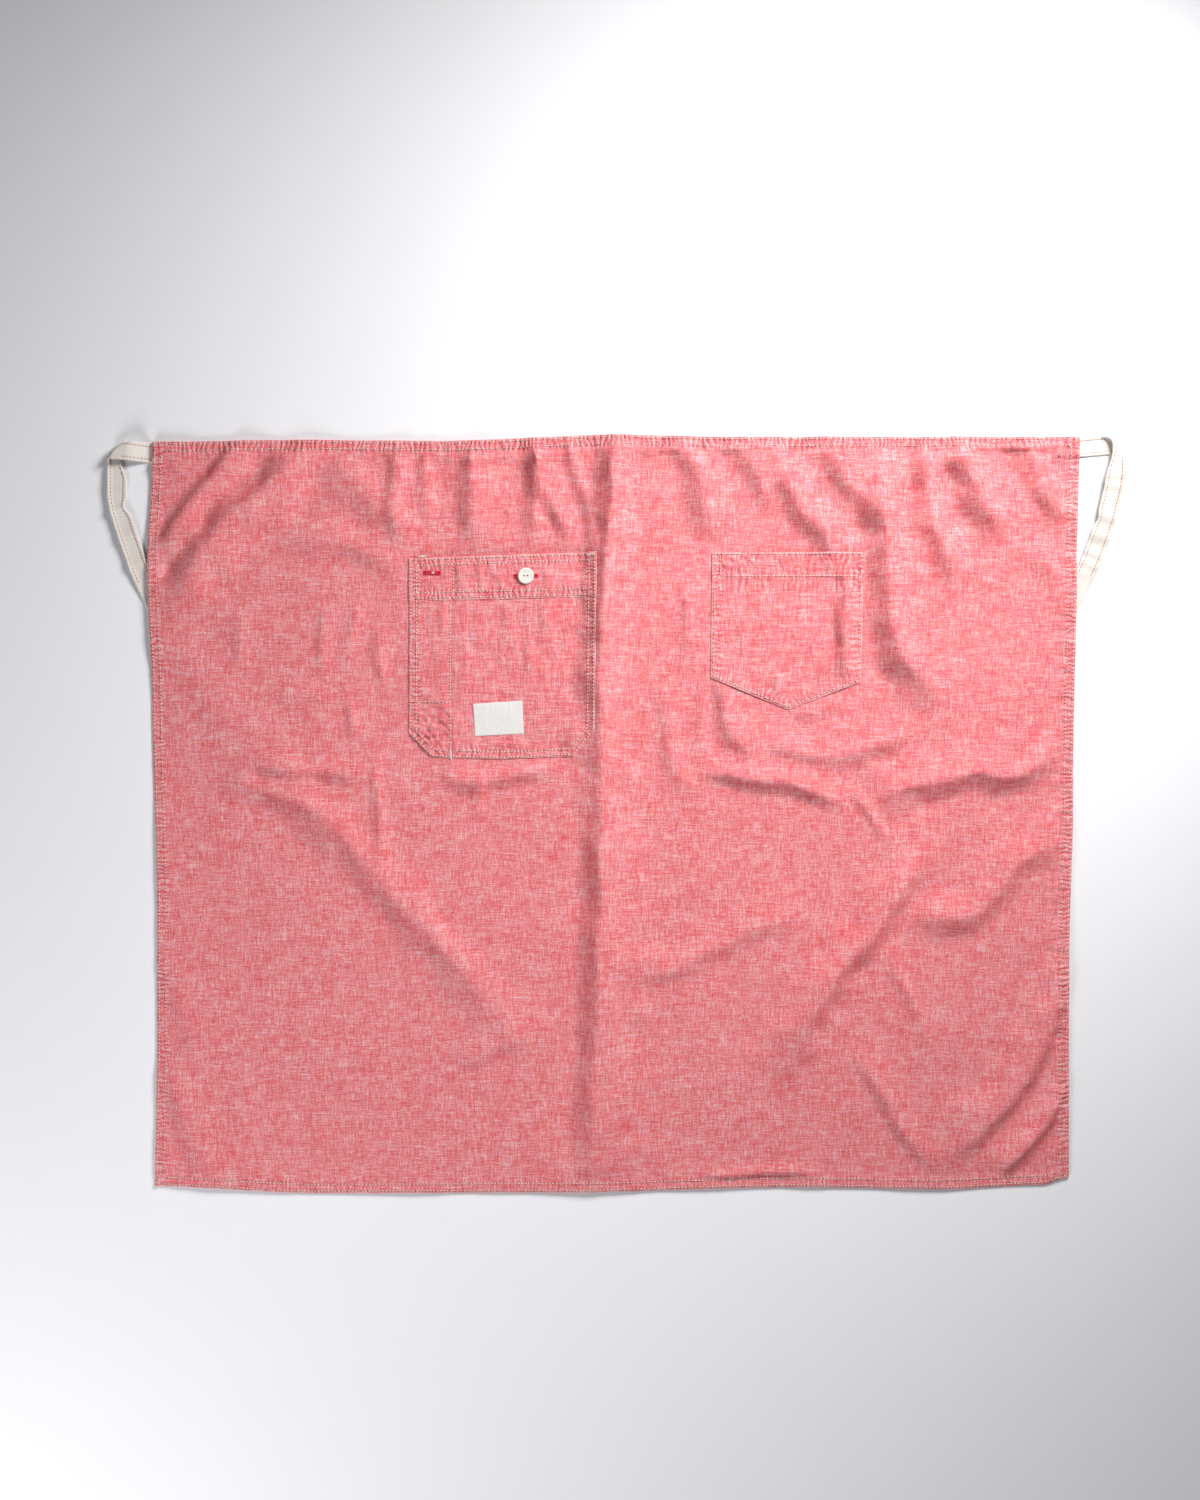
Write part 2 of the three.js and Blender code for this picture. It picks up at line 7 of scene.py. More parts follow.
import bpy
import numpy as np
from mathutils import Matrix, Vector


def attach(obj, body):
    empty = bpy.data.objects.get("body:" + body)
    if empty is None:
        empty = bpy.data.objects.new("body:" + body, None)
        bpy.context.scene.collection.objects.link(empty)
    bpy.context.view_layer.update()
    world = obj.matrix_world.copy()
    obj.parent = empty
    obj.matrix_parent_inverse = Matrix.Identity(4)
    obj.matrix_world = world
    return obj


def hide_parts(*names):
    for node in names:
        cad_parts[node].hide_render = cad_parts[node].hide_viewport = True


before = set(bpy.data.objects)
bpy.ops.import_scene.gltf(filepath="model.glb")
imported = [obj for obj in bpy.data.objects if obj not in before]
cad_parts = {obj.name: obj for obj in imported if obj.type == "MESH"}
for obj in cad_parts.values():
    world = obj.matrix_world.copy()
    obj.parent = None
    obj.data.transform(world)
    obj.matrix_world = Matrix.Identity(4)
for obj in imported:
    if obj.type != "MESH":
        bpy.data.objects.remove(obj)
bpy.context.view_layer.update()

MM = 0.001

# Fine steps in each span of a smooth curve, the cells that noise repeats after, and how far it is stretched
SPLINE_STEPS = 40
NOISE_CELLS = 256
NOISE_GAIN = 1.5

# Camera straight above the floor. The photograph's frame is this tall where the apron lies.
FRAME_TALL = 1458.0
FRAME_MIDDLE = (-14.6, 62.2)
LENS = 50.0
SENSOR = 36.0

# Cloth and hems, and the round rim of a folded edge
CLOTH = 0.9
HEM_DEPTH = 10.0
HEM_EXTRA = 0.5
HEM_STEP = 3.6
RIM_RADIUS = 1.2
RIM_START = 0.15

# Marks across a folded edge, from the edge in: at the panel's hems, on a pocket and on a tape
HEM_MARKS = (0.0, 0.3, 0.8, 1.5, 2.8, 4.2, 5.8, 7.4, 8.8, 10.2, 11.8, 13.8, 16.4, 20.0)
CLOTH_RIM = (0.25, 0.6, 1.1, 1.9)
TAPE_RIM = (0.15, 0.4, 0.8, 1.3)

# The panel's lattice: its step, the steps in a cell between the hems and in a cell of the underside, and how
# far round it each point of the underside is below the folds
FIELD_STEP = 0.9
FIELD_CELLS = 4
UNDER_CELLS = 16
UNDER_REACH = 9.0

# The panel's edges as it lies: where along the edge, and how far out the edge runs there
LEFT_EDGE = [(-361, -447), (-229, -445), (-84, -445), (111, -450), (247, -454), (362, -449)]
RIGHT_EDGE = [(-353, 441), (-156, 441), (14, 445), (218, 448), (366, 451)]
WAIST_EDGE = [(-449, 361.5), (-306, 363.5), (-170, 362.5), (5, 368.5), (102, 366.5), (451, 366.5)]
FOOT_EDGE = [
    (-447, -361.5), (-287, -368.5), (-54, -367.5), (180, -362.5), (316, -364.5), (413, -360.5), (441, -353),
]

# Folds of the lying cloth: the crest's path, its rise, how far the cloth slopes down to the left and to
# the right of that path, and how pressed the crest is, from 0, round, to 1, sharp
FOLDS = [
    # The crease of the folded apron down its middle, which runs on past both hems
    ([(2, 520), (0, 372), (-3, 300), (-9, 240), (-13, 190), (-14, 110), (-14, 40), (-15, -20)],
     17.0, 34, 30, 0.7),
    ([(-12, 100), (-12, 30), (-14, -40), (-16, -130), (-19, -210), (-23, -300), (-25, -420)],
     15.0, 60, 22, 0.7),
    # The creases across it
    ([(236, 8), (290, 27), (350, 40), (392, 39), (450, 80)], 11.0, 36, 22, 0.75),
    ([(66, 41), (130, 35), (178, 27), (236, 3)], 8.0, 28, 13, 0.75),
    ([(-372, 46), (-300, 41), (-222, 36)], 6.0, 22, 12, 0.65),
    ([(-178, 42), (-140, 31), (-100, 37), (-45, 47)], 6.8, 20, 14, 0.65),
    # Upper left corner
    ([(-336, 396), (-361, 364), (-399, 315), (-422, 285), (-451, 242)], 10.5, 30, 13, 0.4),
    ([(-273, 396), (-308, 352), (-338, 314), (-377, 283), (-408, 240), (-434, 178)], 14.0, 40, 26, 0.35),
    ([(-330, 262), (-275, 264), (-230, 248), (-195, 238)], 5.0, 34, 20, 0.45),
    ([(-315, 398), (-296, 372), (-268, 334), (-238, 306), (-214, 284), (-176, 274)], 4.2, 28, 30, 0.3),
    ([(-462, 341), (-440, 339), (-418, 334)], 2.1, 4, 6, 0.75),
    # Gathers under the waist hem, from left to right
    ([(-211, 398), (-212, 362), (-214, 300), (-210, 245)], 5.8, 22, 14, 0.45),
    ([(-183, 398), (-184, 360), (-185, 320), (-182, 270)], 4.2, 16, 13, 0.45),
    ([(-137, 398), (-138, 356), (-139, 300), (-136, 250)], 7.0, 30, 18, 0.45),
    ([(-80, 398), (-78, 364), (-76, 320), (-78, 285), (-76, 248)], 5.8, 14, 14, 0.45),
    ([(-94, 398), (-78, 352), (-64, 312), (-48, 278), (-28, 254)], 7.2, 20, 16, 0.45),
    ([(-56, 398), (-38, 334), (-29, 302), (-21, 272), (-16, 240)], 4.4, 11, 10, 0.55),
    ([(44, 398), (64, 362), (82, 330), (89, 300), (91, 258)], 9.0, 30, 22, 0.4),
    ([(103, 398), (124, 360), (143, 325), (147, 285)], 9.0, 26, 26, 0.4),
    ([(131, 398), (158, 345), (182, 298), (206, 270), (224, 225)], 10.0, 32, 21, 0.4),
    ([(189, 398), (204, 368), (224, 328), (246, 299), (264, 270)], 10.0, 28, 24, 0.4),
    ([(249, 398), (256, 330), (264, 250), (268, 190), (276, 155), (306, 120), (350, 96)], 15.5, 44, 28, 0.5),
    ([(298, 398), (300, 370), (303, 325), (309, 288), (326, 235), (340, 205)], 11.5, 32, 23, 0.4),
    ([(317, 398), (327, 372), (342, 330), (359, 294), (391, 264)], 17.0, 40, 26, 0.4),
    ([(385, 398), (396, 368), (412, 325), (430, 298), (454, 272)], 10.0, 24, 20, 0.4),
    ([(392, 268), (424, 238), (434, 180)], 6.0, 20, 24, 0.45),
    # Round the right pocket
    ([(224, 256), (224, 190), (227, 120)], 6.6, 12, 15, 0.65),
    ([(100, 150), (106, 100), (118, 72), (152, 44)], 6.5, 32, 15, 0.45),
    ([(118, 72), (200, 56), (245, 62), (320, 92)], 5.5, 26, 15, 0.55),
    ([(168, 97), (194, 101), (224, 114)], 2.6, 12, 12, 0.45),
    ([(70, 242), (70, 190), (72, 138)], 3.2, 13, 11, 0.45),
    ([(50, 132), (52, 90), (60, 42), (82, 10)], 3.9, 16, 15, 0.45),
    ([(83, 126), (84, 92), (86, 58)], 2.6, 9, 10, 0.45),
    ([(228, 32), (246, 2), (264, -30)], 3.9, 9, 8, 0.75),
    # Lower right, with the tie that lies under it
    ([(-10, -168), (60, -149), (125, -115), (200, -91)], 5.5, 34, 20, 0.65),
    ([(462, -24), (404, -38), (372, -74), (340, -98), (262, -106)], 8.0, 22, 40, 0.55),
    ([(324, -16), (300, -43), (271, -83), (251, -113), (226, -143), (201, -178), (179, -224), (162, -264)],
     11.5, 19, 36, 0.45),
    ([(452, -96), (440, -160), (418, -218), (388, -272), (344, -316), (300, -345)], 10.5, 15, 44, 0.5),
    ([(446, -250), (422, -294), (400, -322), (366, -361)], 10.0, 12, 26, 0.75),
    ([(226, -220), (262, -274), (280, -308), (318, -360)], 5.9, 24, 11, 0.55),
    ([(258, -112), (276, -156), (293, -192), (306, -245)], 3.1, 14, 10, 0.45),
    # Lower left, with the tie that lies under it
    ([(-234, 66), (-228, 0), (-227, -66)], 3.9, 9, 9, 0.75),
    ([(-134, 42), (-132, 18), (-134, -8)], 2.6, 9, 9, 0.65),
    ([(-392, 40), (-325, 18), (-262, 0)], 5.2, 20, 20, 0.45),
    ([(-350, 40), (-312, 20), (-272, -14), (-234, -57), (-194, -98), (-158, -141), (-120, -182),
      (-86, -224)], 5.8, 28, 30, 0.45),
    ([(-446, -120), (-424, -185), (-396, -250)], 3.1, 24, 18, 0.45),
    ([(-442, -225), (-416, -300), (-402, -330), (-376, -372)], 6.5, 34, 20, 0.45),
    ([(-84, -206), (-118, -228), (-158, -244)], 4.2, 14, 24, 0.45),
    # Small creases left of the left pocket
    ([(-282, 208), (-283, 170), (-286, 130)], 2.9, 14, 10, 0.45),
    ([(-252, 212), (-254, 180), (-262, 148)], 2.3, 10, 10, 0.45),
    ([(-226, 188), (-228, 150), (-222, 118)], 2.9, 10, 11, 0.45),
    ([(-254, 118), (-256, 95), (-252, 72)], 2.9, 10, 11, 0.45),
    ([(-362, 210), (-366, 170), (-362, 130)], 2.3, 14, 11, 0.45),
    ([(-336, 114), (-300, 116), (-268, 113)], 2.3, 12, 11, 0.45),
]

# Points in the path of a fold, and the share of it that the fold takes to rise and to die away
FOLD_SAMPLES = 36
FOLD_FADE = 0.3

# How far a fold wanders from the curve that it follows, over what distance, and the seeds across and up
FOLD_WANDER = [(3.0, 46.0, 71, 81), (1.3, 17.0, 72, 82)]

# How much a fold's width varies, over what distance, and how much wider it is where it dies away
FOLD_SWELL = 0.35
FOLD_SWELL_SIZE = 30.0
FOLD_SWELL_SEED = 75
FOLD_FLARE = 0.5

# How low the folds are at a hem, and where they start to rise from it and over what distance
HEM_SETTLE = 0.35
HEM_SETTLE_FROM = 4.0
HEM_SETTLE_REACH = 22.0

# Cloth rolled up against a hem's inner stitches, as crests along the hem
HEM_ROLLS = [
    ([(-190, 341), (-130, 344), (-60, 346), (-4, 351)], 3.6, 9, 3.5, 0.2),
    ([(-6, 350), (34, 351), (82, 352)], 3.6, 9, 3.5, 0.2),
    ([(78, 352), (120, 355), (166, 356)], 3.2, 9, 3.5, 0.2),
    ([(322, 351), (362, 353), (402, 355), (446, 353)], 4.0, 9, 3.5, 0.2),
    ([(412, 351), (432, 347), (460, 346)], 2.8, 6, 3.5, 0.3),
    ([(208, -349), (132, -350), (62, -353)], 3.2, 3.5, 9, 0.2),
]

# Crumples of unpressed cotton: how wide and how tall one is, its height, and a seed. They rise and fall from
# a level above the floor.
CRUMPLES = [
    (85.0, 95.0, 1.4, 15),
    (34.0, 34.0, 0.34, 11),
    (12.0, 36.0, 0.20, 12),
    (38.0, 13.0, 0.18, 14),
    (8.0, 8.0, 0.07, 13),
]
CRUMPLE_LEVEL = 0.9

# Left pocket and its band, label, right pocket: corners from the mouth's left end, round by the right
WORK_POCKET = [(-200, 248), (-18, 254), (-19.5, 81), (-40, 56), (-112, 53), (-178, 55), (-200.5, 78)]
WORK_BAND = [(-200.2, 248.2), (-17.8, 254.2), (-18, 210.5), (-200.4, 206.5)]
LABEL = [(-138, 107), (-90, 110), (-88.5, 78), (-136, 75.5)]
PATCH_POCKET = [(94, 254), (242, 254), (239, 128), (168, 101), (92.5, 132)]

# The first and the last corner of a pocket's foot, and the levels that stand for its foot and its mouth
WORK_FOOT = (3, 5)
WORK_LEVELS = (54.0, 251.0)
PATCH_FOOT = (2, 4)
PATCH_LEVELS = (130.0, 254.0)

# Lattices: the width, the height and the step, and the steps in a cell of the underside
WORK_LATTICE = (182.0, 197.0, 1.5)
BAND_LATTICE = (182.0, 43.0, 0.95)
PATCH_LATTICE = (148.0, 150.0, 1.3)
LABEL_LATTICE = (48.0, 32.0, 1.0)
POCKET_UNDER_CELLS = 5

# How a pocket lies: its cloth, the gap under it, how far in from a seam its creases are whole, how high it
# stands off the panel and how far in from its seams
POCKET_CLOTH = 0.65
SEAM_GAP = 0.1
SEAM_FREE = 2.0
POCKET_PUFF = 2.2
POCKET_PUFF_REACH = 55.0

# The band: its cloth, how far it is pressed into the pocket, and how far up from its foot it is the front
BAND_CLOTH = 0.845
BAND_SINK = 0.4
BAND_FRONT = 1.0

# The hem at the right pocket's mouth
PATCH_HEM_DEPTH = 26.0
PATCH_HEM_STEP = 2.0
PATCH_HEM_EXTRA = 0.65

# The label: the gap under it, how far round a place it levels out the pocket, and how far it is above that
# level and above the pocket at the least
LABEL_GAP = 0.05
LABEL_SPAN = 5.0
LABEL_LIFT = 0.5
LABEL_LEAST = 0.25

# Small sharp creases of the pockets: how wide and how tall one is, its height, and a seed. Below that, how
# strong they are on the band and on the right pocket.
RUMPLES = [(12.0, 20.0, 0.45, 81), (6.0, 8.0, 0.18, 82)]
BAND_RUMPLE = 0.8
PATCH_RUMPLE = 0.7

# How a crease is cut from noise: its level at the crest, and how deep it falls
CREASE_LEVEL = 0.6
CREASE_DEPTH = 2.0

# Where the pen slot's foot is crumpled, how far, and how wide and how high the crumples are
SLOT_FOOT = (-178.0, 84.0)
SLOT_FOOT_REACH = 24.0
SLOT_FOOT_CRUMPLE = 7.0
SLOT_FOOT_RISE = 1.7
SLOT_FOOT_SEED = 83

# Turned-in cloth inside a pocket's seams, which shows as a low step
TURN_IN = 16.0
PATCH_TURN_IN = 10.5
TURN_IN_STEP = 3.0
TURN_IN_RISE = 0.3

# The pen slot: its seam down the left pocket, and the row of stitches that ends it
PEN_SEAM = [(-156.5, 246), (-156.8, 212), (-160, 204), (-160, 130), (-159.5, 58)]
PEN_FOOT = [(-199, 109), (-158.5, 108.5)]
PEN_SEAM_DIP = 0.7
PEN_SEAM_REACH = 4.5

# Creases of the pockets, as the folds above
WORK_CREASES = [
    ([(-196, 118), (-176, 112), (-158, 96), (-146, 76)], 1.4, 10, 7, 0.4),
    ([(-186, 98), (-176, 84), (-170, 66)], 1.1, 8, 6, 0.4),
    ([(-172, 100), (-160, 84), (-152, 62)], 1.1, 8, 6, 0.4),
    ([(-166, 206), (-167, 192), (-165, 176)], 0.8, 7, 6, 0.2),
    ([(-134, 206), (-135, 182), (-132, 156)], 0.8, 9, 7, 0.2),
    ([(-106, 204), (-105, 180), (-108, 156)], 1.1, 11, 7, 0.2),
    ([(-85, 182), (-84, 160), (-87, 138)], 1.3, 10, 6, 0.2),
    ([(-68, 208), (-66, 188), (-67, 164)], 1.0, 10, 8, 0.2),
    ([(-48, 196), (-46, 176), (-48, 150)], 0.8, 9, 8, 0.2),
    ([(-48, 150), (-52, 118), (-46, 92)], 0.9, 12, 9, 0.2),
    ([(-150, 190), (-146, 150), (-148, 118)], 0.8, 11, 10, 0.2),
    ([(-60, 70), (-46, 76), (-34, 90)], 1.5, 6, 6, 0.1),
    ([(-128, 66), (-100, 68), (-80, 62)], 1.0, 8, 6, 0.0),
]
BAND_CREASES = [
    ([(-154, 240), (-140, 232), (-118, 236), (-104, 226)], 0.8, 6, 5, 0.2),
    ([(-149, 246), (-149, 232), (-147, 214)], 0.9, 7, 6, 0.0),
    ([(-130, 246), (-131, 232), (-128, 214)], 1.0, 8, 6, 0.0),
    ([(-108, 246), (-110, 232), (-108, 216)], 0.7, 6, 6, 0.0),
    ([(-190, 222), (-180, 228), (-172, 218)], 0.6, 5, 5, 0.2),
    ([(-66, 248), (-65, 230), (-67, 214)], 1.0, 9, 7, 0.0),
    ([(-48, 246), (-50, 230), (-46, 216)], 0.7, 7, 6, 0.0),
    ([(-31, 248), (-32, 230), (-29, 214)], 0.7, 5, 5, 0.0),
]
PATCH_CREASES = [
    ([(108, 250), (120, 244), (130, 240)], 1.1, 5, 4, 0.2),
    ([(124, 252), (134, 244), (140, 240)], 1.2, 5, 4, 0.2),
    ([(154, 252), (160, 244), (166, 232)], 1.3, 5, 4, 0.2),
    ([(100, 244), (114, 240), (126, 241)], 1.1, 4, 4, 0.2),
    ([(192, 248), (194, 240), (195, 230)], 1.0, 5, 4, 0.1),
    ([(204, 248), (206, 240), (206, 230)], 1.0, 5, 4, 0.1),
    ([(220, 232), (221, 190), (221, 150), (223, 120)], 2.4, 8, 8, 0.1),
    ([(156, 196), (158, 170), (156, 150)], 1.2, 12, 8, 0.0),
    ([(160, 140), (157, 126), (160, 112)], 1.2, 10, 6, 0.0),
    ([(128, 200), (124, 176), (128, 150)], 1.0, 12, 10, 0.0),
    ([(222, 188), (232, 187), (240, 186)], 1.0, 5, 4, 0.1),
    ([(222, 174), (232, 172), (240, 173)], 0.9, 5, 4, 0.1),
]

# A thread's shape: its sides, and for each ring the place along its half length, the share of its width and
# the share of its sink
THREAD_SIDES = 6
THREAD_RINGS = ((-1.0, 0.35, -1.0), (-0.55, 1.0, 0.0), (0.55, 1.0, 0.0), (1.0, 0.35, -1.0))

# Stitches: their spacing, their length and by what share it varies, how far they stray, their width, how far
# they are raised and how far their ends are sunk. Then the dark threads between them that paint the shade of
# the holes where each stitch goes into the cloth.
STITCH_PITCH = 3.3
STITCH_LENGTH = 2.3
STITCH_LENGTHS = (0.85, 1.1)
STITCH_STRAY = 0.25
STITCH_WIDTH = 0.85
STITCH_RAISED = 0.255
STITCH_SINK = 0.22
HOLE_SHADE_WIDTH = 0.65
HOLE_SHADE_SINK = 0.12

# Rows of stitches: how far in from an edge they run, and the points in a row along a hem
HEM_ROWS = (2.5, 9.0)
HEM_ROW_POINTS = 300
POCKET_ROWS = (1.9, 7.4)
BAND_FOOT_ROWS = (2.6, 8.0)
PATCH_ROW = 2.8
PATCH_HEM_ROWS = (1.5, 23.0)

# Rows with ends of their own: along the right pocket's hem, across it, and across the waist hem where the
# right tie is sewn in
PATCH_HEM_ENDS = (96.0, 240.0)
PATCH_CROSS_ROW = [(102.0, 252.0), (102.0, 231.0)]
RIGHT_TIE_ROW = [(431, 362), (431, 343)]

# Seam puckers: the spacing of the ribs along a seam, how soon they rise from the edge, how far in they are
# whole and where they end, and their mean height
PUCKER_PITCH = 5.0
PUCKER_START = 1.4
PUCKER_WHOLE = 9.0
PUCKER_RUN = 15.0
PUCKER_MEAN = 1.27

# How strong the ribs are and how that varies along a seam, between what limits, and how far they stray
PUCKER_STRENGTH = 0.7
PUCKER_VARIES = 0.6
PUCKER_VARIES_SIZE = 36.0
PUCKER_LIMITS = (0.15, 1.2)
PUCKER_VARIES_SEED = 50
PUCKER_STRAY = 0.8
PUCKER_STRAY_SIZE = (17.0, 14.0)

# Depth of the ribs on the pockets, and the seeds of each seam
POCKET_PUCKER = 0.55
BAND_PUCKER = 0.55
PATCH_PUCKER = 0.45
WORK_SEED = 31
BAND_SEED = 32
PATCH_SEED = 33
PATCH_HEM_SEED = 34

# The panel's hems, left, right, foot and waist: the depth of the ribs, how worn their crests are and how
# dark the painted shade between them is, the depth of the drags, and the seeds of ribs and drags. Below
# that, how far both may press into the cloth.
HEMS = [
    (0.65, 1.0, 1.1, 23, 27),
    (0.65, 1.0, 1.1, 24, 28),
    (0.35, 0.5, 0.5, 22, 26),
    (0.9, 1.0, 1.1, 21, 25),
]
HEM_PRESS = 0.6

# Wear and painted shade: how much paler the cloth is on a rib's crest and darker with painted shade between
# the ribs, how much paler it is at a folded edge, and how far in from the edge
RIB_WEAR_AND_SHADE = 0.32
WEAR_EDGE = 0.3
WEAR_EDGE_REACH = 2.0

# Drags: the longer creases that a hem pulls into the cloth, their spacing, how much longer than that their
# waves are, how soon they rise from the edge and where they end
DRAG_PITCH = 9.0
DRAG_STRETCH = 2.5
DRAG_START = 6.0
DRAG_RUN = 46.0

# Buttonholes: their middles and lengths, the width and the spacing of the threads round them, how far the
# threads meet at both ends, half the slit, and a thread's width and how far it is raised
PEN_BUTTONHOLE = (-177.5, 234.0)
PEN_BUTTONHOLE_LENGTH = 16.0
MAIN_BUTTONHOLE = (-86.5, 231.0)
MAIN_BUTTONHOLE_LENGTH = 22.0
BUTTONHOLE_WIDTH = 4.0
BUTTONHOLE_PITCH = 0.6
BUTTONHOLE_BAR = 1.4
SLIT_HALF = 0.35
BUTTONHOLE_THREAD = (1.1, 0.4)

# The button: its radius, sides and rings, and its holes: how far out they are, their radius, the slope of
# their edge, and their depth
BUTTON_RADIUS = 7.8
BUTTON_SIDES = 96
BUTTON_RINGS = 64
BUTTON_HOLE_OUT = 1.65
BUTTON_HOLE_RADIUS = 0.8
BUTTON_HOLE_EDGE = 0.3
BUTTON_HOLE_DEPTH = 1.1

# The white thread in the left buttonhole: its ends, and its width and how far it is raised
SLIT_THREAD = [((-178.3, 233.8), (-175.1, 234.3))]
SLIT_THREAD_SIZE = (2.1, 1.0)

# How the button rests: the share of its radius that lies on the cloth, and the places tried across it
BUTTON_REST = 0.8
BUTTON_TRIES = 25

# Threads in the button's holes: how deep they lie as a share of the hole, how far apart, half their length,
# and their width
BUTTON_THREAD_DEPTH = 0.75
BUTTON_THREAD_SHIFTS = (-0.3, 0.3)
BUTTON_THREAD_HALF = 0.6
BUTTON_THREAD_WIDTH = 1.1

# The button's outline from its middle out and down: radius as a share of the whole, and height
BUTTON_PROFILE = [
    (0.0, 1.75), (0.40, 1.75), (0.62, 1.8), (0.76, 1.95), (0.86, 2.0), (0.94, 1.8), (0.985, 1.4), (1.0, 1.0),
    (0.96, 0.5), (0.85, 0.2), (0.0, 0.1),
]

# Tacks at the left pocket's corners and at the foot of the pen slot: middle, and the turn in degrees. Their
# size, how far a thread leans, how many there are, and a thread's width and how far it is raised.
TACKS = [((-187.0, 250.0), 5.0), ((-23.5, 251.5), 5.0), ((-159.4, 57.5), 90.0)]
TACK_LENGTH = 7.0
TACK_WIDTH = 2.2
TACK_LEAN = 0.35
TACK_THREADS = 11
TACK_THREAD = (0.7, 0.3)

# Waist ties: a tape that folds in a soft roll and runs back under the panel. Places along a tie are counted
# from its fold, and are negative before it. First the tape, the step across it, and its sewn length.
TAPE_WIDTH = 19.0
TAPE_THICKNESS = 1.2
TAPE_STEP = 1.1
TAPE_SEWN = 24.0

# The roll: its radius, how far it lifts the tie, where past the panel's edge that begins, how near the fold
# it is whole, and how far and over what half width the fold bulges out
ROLL_RADIUS = 3.4
ROLL_LIFT = 1.6
ROLL_START = 1.0
ROLL_ZONE = 20.0
TIE_BULGE = 4.5
TIE_BULGE_HALF = 13.0

# Where a tie is down on the floor, the points in its path, the stretch that is rolled, the steps before, in
# and after the roll and under the panel, and how far from the path's end the last step stops
TIE_LANDING = 150.0
TIE_SAMPLES = 400
ROLL_STRETCH = (-12.0, 16.0)
TIE_STEPS = (2.0, 0.6, 1.5, 8.0)
TIE_END_GAP = 1.0

# A tie's folded edges, how high one of them curls, and from what share of the half width
TIE_HEM = 3.2
TIE_HEM_STEP = 1.0
TIE_HEM_RISE = 0.35
TIE_CURL = 1.7
TIE_CURL_FROM = 0.35

# Where the bends across a tie begin and how soon they are whole, how soon they end, and how far they stray
TIE_CREASE_FROM = 10.0
TIE_CREASE_RISE = 12.0
TIE_CREASE_END = 40.0
TIE_CREASE_STRAY = 1.0
TIE_CREASE_STRAY_SIZE = 9.0

# A tie's stitches: how far in from the edge, and how far from the panel, the fold and the landing they keep
TIE_STITCH_IN = 3.3
TIE_STITCH_WIDTH = 0.75
TIE_STITCH_LENGTH = 2.8
TIE_STITCH_START = 1.0
TIE_STITCH_FOLD = (-7.0, 9.0)
TIE_STITCH_END = 20.0

# Each tie: a seed, its fold, where it leaves the panel, the edge that curls, whether its hanging part lies
# over its waist part, its nick by place, depth and reach, its route, and its bends by place, rise and reach
TIES = {
    "left": {
        "seed": 61, "fold": (-483, 353), "from": (-450, 350.5), "curled": 1, "over": False,
        "nick": (56.0, 4.2, 7.0),
        "route": [
            (-483.5, 325), (-482, 300), (-468.5, 257), (-450, 212), (-400, 126), (-282, -2), (-92, -214),
        ],
        "creases": [(16, 0.8, 5), (34, 0.5, 8), (57, 1.4, 6), (84, 0.8, 9), (112, 0.9, 8)],
    },
    "right": {
        "seed": 62, "fold": (485, 359), "from": (451, 356), "curled": -1, "over": True,
        "nick": (76.0, 1.6, 6.0),
        "route": [(485, 335), (482, 312), (471, 271), (449, 218), (390, 106), (292, -33), (166, -234)],
        "creases": [
            (12, 1.0, 7), (30, 1.2, 8), (41, 1.0, 7), (71, 1.4, 9), (91, 1.4, 9), (109, 1.2, 8),
            (120, 1.2, 7), (131, 1.0, 7),
        ],
    },
}

# Crests of the panel over a tie and over its sewn end: sizes as the folds above, and the fade. Below that,
# how far a crest runs on past its tie.
TIE_CREST = (2.6, 40, 40, 0.0, 0.05)
SEWN_CREST = (2.2, 40, 40, 0.0, 0.3)
TIE_OVERRUN = 36.0

# Floor and the light from all round
FLOOR_HALF = 4.0
WORLD_COLOUR = (0.93, 0.95, 1.0, 1.0)
WORLD_STRENGTH = 0.08


# Plain helpers

def smooth(t):
    """Rises from 0 to 1 as t does, level at both ends."""
    t = np.clip(t, 0.0, 1.0)
    return t * t * (3.0 - 2.0 * t)


def step_down(t, at, wide):
    """From 1 to 0 across a step of that width."""
    return 1.0 - smooth((t - at + wide / 2) / wide)


def unit(vectors):
    """Vectors of length 1."""
    return vectors / np.linalg.norm(vectors, axis=-1, keepdims=True)


def around(surface, x, y, reach):
    """Heights of a surface at a place and at eight places round it."""
    steps = (-reach, 0.0, reach)
    return [surface(x + a, y + b) for a in steps for b in steps]


def noise(x, y, size_x, size_y, seed):
    """Smooth noise of about -1 to 1, whose features are size_x by size_y."""
    turn = np.random.default_rng(seed).uniform(0.0, 2.0 * math.pi, (NOISE_CELLS, NOISE_CELLS))
    fx = np.asarray(x, float) / size_x
    fy = np.asarray(y, float) / size_y
    ix = np.floor(fx).astype(int)
    iy = np.floor(fy).astype(int)
    tx = fx - ix
    ty = fy - iy

    def corner(a, b):
        angle = turn[(ix + a) % NOISE_CELLS, (iy + b) % NOISE_CELLS]
        return np.cos(angle) * (tx - a) + np.sin(angle) * (ty - b)

    wx = tx ** 3 * (tx * (6.0 * tx - 15.0) + 10.0)
    wy = ty ** 3 * (ty * (6.0 * ty - 15.0) + 10.0)
    low = corner(0, 0) * (1.0 - wx) + corner(1, 0) * wx
    high = corner(0, 1) * (1.0 - wx) + corner(1, 1) * wx
    return NOISE_GAIN * (low * (1.0 - wy) + high * wy)


def spline(points, count):
    """Evenly spaced points of a smooth curve through the given points."""
    p = np.array(points, float)
    p = np.vstack([p[:1], p, p[-1:]])
    fine = np.linspace(0.0, len(points) - 1.0, SPLINE_STEPS * (len(points) - 1) + 1)
    k = np.minimum(fine.astype(int), len(points) - 2)
    t = (fine - k)[:, None]
    a, b, c, d = p[k], p[k + 1], p[k + 2], p[k + 3]
    curve = 0.5 * (2 * b + (c - a) * t + (2 * a - 5 * b + 4 * c - d) * t ** 2
                   + (3 * b - a - 3 * c + d) * t ** 3)
    return resample(curve, count)


